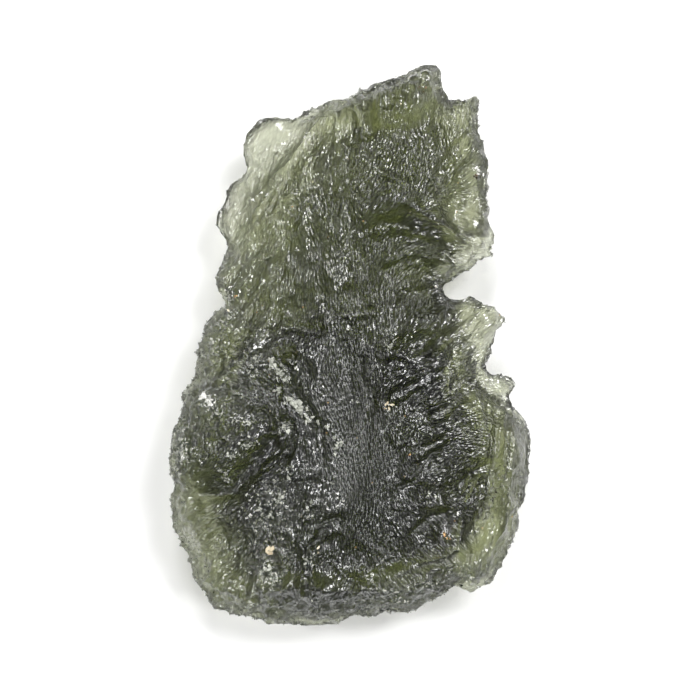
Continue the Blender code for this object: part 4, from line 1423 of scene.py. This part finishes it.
SPECKS = each(
    Speck,
    (Dirt.CLAY, -8.45, 2.65, 0.10, 0.16, 2), (Dirt.SAND, -8.05, 3.55, 0.10, 0.10, 3),
    (Dirt.SUGAR_AND_GLINT, -8.50, 3.70, 0.22, 0.10, 12), (Dirt.SUGAR_AND_GLINT, -10.10, -3.45, 0.15, 0.19, 10),
    (Dirt.SUGAR_AND_GLINT, -9.70, -3.90, 0.15, 0.17, 9), (Dirt.SUGAR_AND_GLINT, -9.90, -3.65, 0.38, 0.07, 34),
    (Dirt.FROST, -5.50, -1.10, 0.14, 0.16, 8), (Dirt.FROST, -5.15, -1.45, 0.14, 0.18, 10),
    (Dirt.FROST, -4.75, -1.85, 0.13, 0.17, 10), (Dirt.FROST, -4.40, -2.25, 0.12, 0.14, 8),
    (Dirt.FROST, -4.15, -3.60, 0.16, 0.20, 10), (Dirt.FROST, -3.75, -4.00, 0.16, 0.22, 12),
    (Dirt.FROST, -3.30, -4.45, 0.15, 0.20, 10), (Dirt.FROST, -2.85, -4.90, 0.14, 0.17, 9),
    (Dirt.FROST, -2.30, -5.25, 0.14, 0.13, 7), (Dirt.FROST, -1.50, -5.55, 0.18, 0.12, 7),
    (Dirt.FROST, -0.85, -6.60, 0.16, 0.16, 8), (Dirt.FROST, -1.10, -7.20, 0.12, 0.13, 6),
    (Dirt.FROST, -7.00, -6.80, 0.26, 0.15, 16), (Dirt.FROST, -7.20, -5.20, 0.18, 0.13, 8),
    (Dirt.FROST, -8.35, -7.45, 0.20, 0.13, 10), (Dirt.FROST, -8.75, -9.00, 0.18, 0.13, 10),
    (Dirt.FROST, -9.25, -4.60, 0.18, 0.14, 9), (Dirt.FROST, -5.00, -3.00, 0.20, 0.13, 10),
    (Dirt.FROST, -11.60, -7.30, 0.34, 0.14, 20), (Dirt.FROST, -11.90, -6.10, 0.30, 0.14, 14),
    (Dirt.FROST, -12.30, -7.40, 0.30, 0.13, 24), (Dirt.FROST, -12.35, -8.80, 0.30, 0.13, 26),
    (Dirt.FROST, -12.40, -11.60, 0.35, 0.13, 22), (Dirt.FROST, -9.00, 1.60, 0.40, 0.12, 20),
    (Dirt.FROST, -9.60, 0.00, 0.40, 0.12, 18), (Dirt.FROST, -5.80, -15.60, 0.40, 0.14, 22),
    (Dirt.FROST, -5.20, -10.20, 0.40, 0.14, 20), (Dirt.FROST, -3.00, -11.40, 0.35, 0.14, 14),
    (Dirt.FROST, 2.80, -17.60, 0.60, 0.12, 24), (Dirt.FROST, -8.60, -17.00, 0.60, 0.13, 22),
    (Dirt.FROST, 7.30, -3.00, 0.22, 0.13, 9), (Dirt.FROST, -4.35, -5.70, 0.22, 0.16, 12),
    (Dirt.FROST, -8.70, 3.20, 0.35, 0.12, 16), (Dirt.FROST, 2.70, -0.20, 0.28, 0.13, 9),
    (Dirt.FROST, -2.90, -14.60, 0.30, 0.13, 12), (Dirt.FROST, 5.50, -10.20, 0.28, 0.12, 8),
    (Dirt.FROST, 1.40, -15.90, 0.28, 0.13, 9), (Dirt.FROST, -7.00, -1.60, 0.30, 0.13, 9),
    (Dirt.FROST, -4.50, -8.60, 0.30, 0.13, 10), (Dirt.FROST, -5.90, -11.60, 0.50, 0.14, 16),
    (Dirt.FROST, -7.00, -10.60, 0.30, 0.12, 8), (Dirt.FROST, -11.40, -8.00, 0.50, 0.13, 16),
    (Dirt.FROST, -6.70, -18.00, 0.26, 0.13, 9), (Dirt.FROST, -5.50, -16.20, 0.24, 0.12, 8),
    (Dirt.FROST, 8.40, -16.20, 0.50, 0.13, 14), (Dirt.FROST, -3.10, 10.10, 0.22, 0.12, 9),
    (Dirt.FROST, -3.90, 10.60, 0.16, 0.11, 6), (Dirt.FROST, 11.80, -5.20, 0.30, 0.12, 9),
    (Dirt.SUGAR_AND_GLINT, 8.90, 12.30, 0.14, 0.15, 4), (Dirt.SUGAR_AND_GLINT, 9.30, 12.15, 0.10, 0.13, 3),
    (Dirt.SOIL, 8.80, 12.00, 0.18, 0.11, 7), (Dirt.CLAY, 2.55, -4.05, 0.16, 0.13, 6),
    (Dirt.SUGAR_AND_GLINT, 2.80, -4.20, 0.12, 0.10, 5), (Dirt.CLAY, -5.50, -14.10, 0.10, 0.22, 3),
    (Dirt.SUGAR_AND_GLINT, -0.70, -10.60, 0.20, 0.08, 12), (Dirt.CLAY, -2.20, -14.10, 0.08, 0.12, 2),
    (Dirt.SAND, 6.55, -13.00, 0.08, 0.10, 3), (Dirt.SAND, 6.85, -13.25, 0.06, 0.09, 2),
    (Dirt.SAND, 9.20, -12.80, 0.05, 0.09, 1), (Dirt.SAND, 4.15, -7.45, 0.05, 0.08, 2),
    (Dirt.SAND, -3.30, 2.70, 0.05, 0.08, 2), (Dirt.SAND, -1.60, -3.80, 0.04, 0.07, 1),
    (Dirt.SUGAR_AND_GLINT, -6.05, 10.45, 0.12, 0.09, 6), (Dirt.SUGAR_AND_GLINT, -3.80, 6.75, 0.10, 0.08, 5),
    (Dirt.SUGAR_AND_GLINT, -7.05, -11.70, 0.08, 0.11, 3), (Dirt.SUGAR_AND_GLINT, 7.40, -11.50, 0.06, 0.10, 2),
    (Dirt.SUGAR_AND_GLINT, -3.90, -1.20, 0.22, 0.09, 9), (Dirt.SUGAR_AND_GLINT, -0.20, 1.20, 0.12, 0.08, 5),
    (Dirt.SUGAR_AND_GLINT, -2.90, 14.60, 0.20, 0.08, 12), (Dirt.SUGAR_AND_GLINT, -6.80, 10.20, 0.24, 0.08, 10),
    # These two groups of white crumbs are painted highlights on glinting facets, not a crust.
    (Dirt.SUGAR_AND_GLINT, 8.90, 8.70, 0.10, 0.10, 3), (Dirt.SUGAR_AND_GLINT, 5.20, 18.80, 0.25, 0.10, 8),
    (Dirt.SOIL, 4.95, 17.90, 0.20, 0.10, 7),
)


@dataclass
class LooseBits:
    """Angular bits that sit on the skin, joined into one piece for each material."""

    stone: bpy.types.Object
    seed: int = 71
    crumbs: int = 20000      # how many places are tried for a crumb of frosted glass
    strays: int = 130        # how many single grains of dirt lie about
    forms: int = 7           # how many different rock shapes there are
    corners: Ends = (0.55, 1.15)        # how far a shape's corners are from its middle
    crumb_sizes: Ends = (0.030, 0.095)
    stray_sizes: Ends = (0.03, 0.06)
    sizes: Ends = (0.6, 1.15)           # least and most size, over the place's size
    lengths: Ends = (0.7, 1.2)          # least and most length, over the proportions
    proportions: tuple[float, float, float] = (1.5, 0.85, 0.35)
    lift: float = 0.10                  # how far a bit's middle is off the skin, over its size
    scatter: float = 0.04               # how far a bit strays from its point of the skin
    crumb_gain: float = 3.0             # how fast crumbs become likely as the skin is frosted
    crumb_start: float = 0.3            # what is taken off that
    crumb_most: float = 0.9
    beside: float = 0.08                # how far from a place its highest point may be
    crumb_ground: Ends = (0.15, 0.5)    # how far up the skin looks under a crumb, and its height
    dirt_ground: Ends = (0.25, 1.0)     # the same under dirt
    tilt: float = 0.3                   # how far it leans
    points: Rows = field(init=False)
    normals: Rows = field(init=False)
    frost: Rows = field(init=False)

    def __post_init__(self) -> None:
        """Read the skin's points, normals and frost."""
        mesh = self.stone.data
        self.points = point_rows(mesh) / METRES
        self.normals = normal_rows(mesh)
        self.frost = np.empty(len(self.points), np.float32)
        mesh.attributes["frost"].data.foreach_get("value", self.frost)

    def shapes(self, draw: np.random.Generator) -> list[tuple[Rows, Rows]]:
        """Make the rock shapes.

        Args:
            draw: the source of random numbers.

        Returns:
            For each shape its points, about one unit from its middle, and the triangles
            between them.
        """
        found = []
        for _ in range(self.forms):
            work = bmesh.new()
            bmesh.ops.create_icosphere(work, subdivisions=1, radius=1.0)
            for vert in work.verts:
                vert.co *= draw.uniform(*self.corners)
            bmesh.ops.recalc_face_normals(work, faces=work.faces)
            rows = np.array([tuple(vert.co) for vert in work.verts])
            sides = np.array([[vert.index for vert in face.verts] for face in work.faces])
            work.free()
            found.append((rows, sides))
        return found

    def looking_up(self, slope: float, lowest: float) -> Rows:
        """The indices of the skin's points that look up and are higher than the lowest."""
        return np.nonzero((self.normals[:, 2] > slope) & (self.points[:, 2] > lowest))[0]

    def nearest_top(self, tops: Rows, x: float, y: float) -> int:
        """Find the highest point of the skin beside a place.

        Args:
            tops: the indices of the points to choose from.
            x: where the place is.
            y: where the place is.

        Returns:
            The point's index.
        """
        gap = np.hypot(self.points[tops, 0] - x, self.points[tops, 1] - y)
        near = tops[gap < gap.min() + self.beside]
        return int(near[np.argmax(self.points[near, 2])])

    def crumb_places(self, draw: np.random.Generator) -> list[tuple[Dirt, int, float]]:
        """Choose where the frosted crumbs are, by how frosted the skin is.

        Args:
            draw: the source of random numbers.

        Returns:
            For each crumb its kind, the point of the skin under it and its radius.
        """
        tries = draw.choice(self.looking_up(*self.crumb_ground), self.crumbs)
        crusty = self.frost[tries] * self.crumb_gain - self.crumb_start
        chance = np.clip(crusty, 0.0, self.crumb_most) ** 2
        keep = draw.uniform(0.0, 1.0, self.crumbs) < chance
        sizes = draw.uniform(*self.crumb_sizes, self.crumbs)
        return [(Dirt.CRUMB, int(i), float(r)) for i, r in zip(tries[keep], sizes[keep])]

    def dirt_places(self, draw: np.random.Generator) -> list[tuple[Dirt, int, float]]:
        """Choose where the dirt is: its places, and single grains here and there.

        Args:
            draw: the source of random numbers.

        Returns:
            For each bit its kind, the point of the skin under it and its radius.
        """
        places = []
        tops = self.looking_up(*self.dirt_ground)
        for speck in SPECKS:
            for _ in range(speck.count):
                x, y = draw.normal((speck.x, speck.y), speck.spread)
                size = speck.size * draw.uniform(*self.sizes)
                spot = self.nearest_top(tops, float(x), float(y))
                places.append((speck.kind, spot, float(size)))
        for index in draw.choice(tops, self.strays).tolist():
            kind = (Dirt.SAND, Dirt.CLAY, Dirt.SUGAR_AND_GLINT, Dirt.SOIL)[int(draw.integers(4))]
            places.append((kind, index, float(draw.uniform(*self.stray_sizes))))
        return places

    def lying(self, index: int, draw: np.random.Generator) -> Rows:
        """A turn that lays a bit on the skin, a little tilted, any way round.

        Args:
            index: the skin point under the bit.
            draw: the source of random numbers.

        Returns:
            A matrix whose third column is the bit's upward axis.
        """
        up = self.normals[index] + draw.normal(0.0, self.tilt, 3)
        up = up / np.linalg.norm(up)
        side = np.cross(up, draw.normal(size=3))
        side = side / np.linalg.norm(side)
        return np.stack([side, np.cross(up, side), up], axis=1)

    def build(self) -> list[bpy.types.Object]:
        """Make the bits.

        Returns:
            One finished object for each kind, in metres.
        """
        draw = np.random.default_rng(self.seed)
        shapes = self.shapes(draw)
        places = self.crumb_places(draw) + self.dirt_places(draw)
        pieces = []
        for kind in Dirt:
            mine = [(index, size) for sort, index, size in places if sort is kind]
            pieces.append(self.piece(kind, mine, shapes, draw))
        return pieces

    def piece(
        self,
        kind: Dirt,
        places: list[tuple[int, float]],
        shapes: list[tuple[Rows, Rows]],
        draw: np.random.Generator,
    ) -> bpy.types.Object:
        """One kind's bits as a single object.

        Args:
            kind: what the bits are made of.
            places: the skin point under each bit, and the bit's radius.
            shapes: the rock shapes to choose from.
            draw: the source of random numbers.

        Returns:
            The finished object.
        """
        rows: list[Rows] = []
        sides: list[Rows] = []
        tones: list[Rows] = []
        start = 0
        for index, size in places:
            shape, faces = shapes[int(draw.integers(len(shapes)))]
            spot = self.points[index] + self.normals[index] * self.lift * size
            spot = spot + draw.normal(0.0, self.scatter, 3)
            lengths = size * draw.uniform(*self.lengths, 3) * self.proportions
            rows.append((shape * lengths) @ self.lying(index, draw).T + spot)
            sides.append(faces + start)
            tones.append(np.full(len(shape), draw.uniform(0.0, 1.0)))
            start += len(shape)
        name = kind.value.name
        mesh = bpy.data.meshes.new(name)
        lowest, highest = (np.array(corner) for corner in CAD_BOX)
        inside = np.clip(np.concatenate(rows) * METRES, lowest, highest)
        mesh.from_pydata(inside.tolist(), [], np.concatenate(sides).tolist())
        add_value(mesh, "tone", np.concatenate(tones))
        mesh.materials.append(kind.value.material())
        return placed(name, mesh)


# ------------------------------------------------------------------ studio


@dataclass(frozen=True)
class SoftBox:
    """A square studio light that looks at the stone."""

    name: str
    place: tuple[float, float, float]
    share: float             # how bright it alone makes white paper under it
    glow: float = 20.0       # how bright its own face is, beside that paper at 1

    def side(self) -> float:
        """Work out how wide the box is, from its share and its glow.

        Returns:
            The length of a side.
        """
        reach = Vector(self.place).length
        slant = self.place[2] / reach
        return reach * math.sqrt(math.pi * self.share / (self.glow * slant))

    def build(self) -> bpy.types.Object:
        """Hang the light and aim it at the origin.

        Returns:
            The light.
        """
        data = bpy.data.lights.new(self.name, "AREA")
        data.shape = "SQUARE"
        data.size = self.side()
        data.energy = math.pi * self.side() ** 2 * self.glow
        light = placed(self.name, data)
        light.location = self.place
        light.rotation_euler = Vector(self.place).to_track_quat("Z", "Y").to_euler()
        return light


@dataclass
class Studio:
    """A pale table, soft lights and a camera that looks straight down."""

    table_side: float = 0.9
    table_tone: Colour = (0.965, 0.965, 0.96, 1.0)
    table_rough: float = 0.9
    table_gloss: float = 0.1
    surround: float = 0.07         # how bright the room is where the glass mirrors it
    backdrop: float = 0.80         # and behind the table
    lens: float = 100.0
    sensor: float = 36.0
    clip: Ends = (0.005, 10.0)
    camera_place: tuple[float, float, float] = (-0.000035, -0.00025, 0.1417)
    boxes: tuple[SoftBox, ...] = (
        SoftBox("key_box", (0.22, 0.20, 0.42), 0.465),
        SoftBox("far_box", (-0.04, 0.34, 0.38), 0.30),
        SoftBox("left_box", (-0.34, 0.06, 0.36), 0.245),
        SoftBox("right_box", (0.34, -0.08, 0.36), 0.26),
        SoftBox("near_box", (-0.10, -0.34, 0.38), 0.225),
    )

    def build(self) -> None:
        """Make the table, the lights, the world and the camera."""
        self.table()
        for box in self.boxes:
            box.build()
        self.world()
        self.camera()
        bpy.context.scene.view_settings.view_transform = "Standard"

    def table(self) -> bpy.types.Object:
        """Make the pale surface that the stone lies on.

        Returns:
            The table.
        """
        work = bmesh.new()
        bmesh.ops.create_grid(work, x_segments=1, y_segments=1, size=self.table_side / 2)
        mesh = bpy.data.meshes.new("table")
        work.to_mesh(mesh)
        work.free()
        table = placed("table", mesh)
        paper = new_material("table_paper")
        surface = {
            "Base Color": self.table_tone,
            "Roughness": self.table_rough,
            "Specular IOR Level": self.table_gloss,
        }
        set_inputs(paper.node_tree, paper.node_tree.nodes["Principled BSDF"], surface)
        mesh.materials.append(paper)
        return table

    def world(self) -> None:
        """An even surround, dim where the glass mirrors it and pale behind the table."""
        world = bpy.data.worlds.new("surround")
        world.use_nodes = True
        tree = world.node_tree
        seen = add_node(tree, "ShaderNodeLightPath", {}).outputs["Is Camera Ray"]
        strength = carried(tree, seen, (0.0, 1.0), (self.surround, self.backdrop))
        light = {"Color": (1.0, 1.0, 1.0, 1.0), "Strength": strength}
        set_inputs(tree, tree.nodes["Background"], light)
        bpy.context.scene.world = world

    def camera(self) -> bpy.types.Object:
        """Put a long lens straight above the stone.

        Returns:
            The camera.
        """
        data = bpy.data.cameras.new("camera")
        data.lens = self.lens
        data.sensor_width = self.sensor
        data.clip_start, data.clip_end = self.clip
        camera = placed("camera", data)
        camera.location = self.camera_place
        bpy.context.scene.camera = camera
        return camera


def main() -> None:
    """Build the stone, its dirt and the studio, in that order."""
    logging.basicConfig(level=logging.INFO, format="%(name)s: %(message)s")
    stone = StoneSkin(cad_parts[NODE]).build()
    stone.data.materials.append(GlassFinish().material())
    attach(stone, BODY)
    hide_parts(NODE)
    LOG.info("%s: %d faces", stone.name, len(stone.data.polygons))
    for piece in LooseBits(stone).build():
        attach(piece, BODY)
        LOG.info("%s: %d faces", piece.name, len(piece.data.polygons))
    Studio().build()


if __name__ == "__main__":
    main()
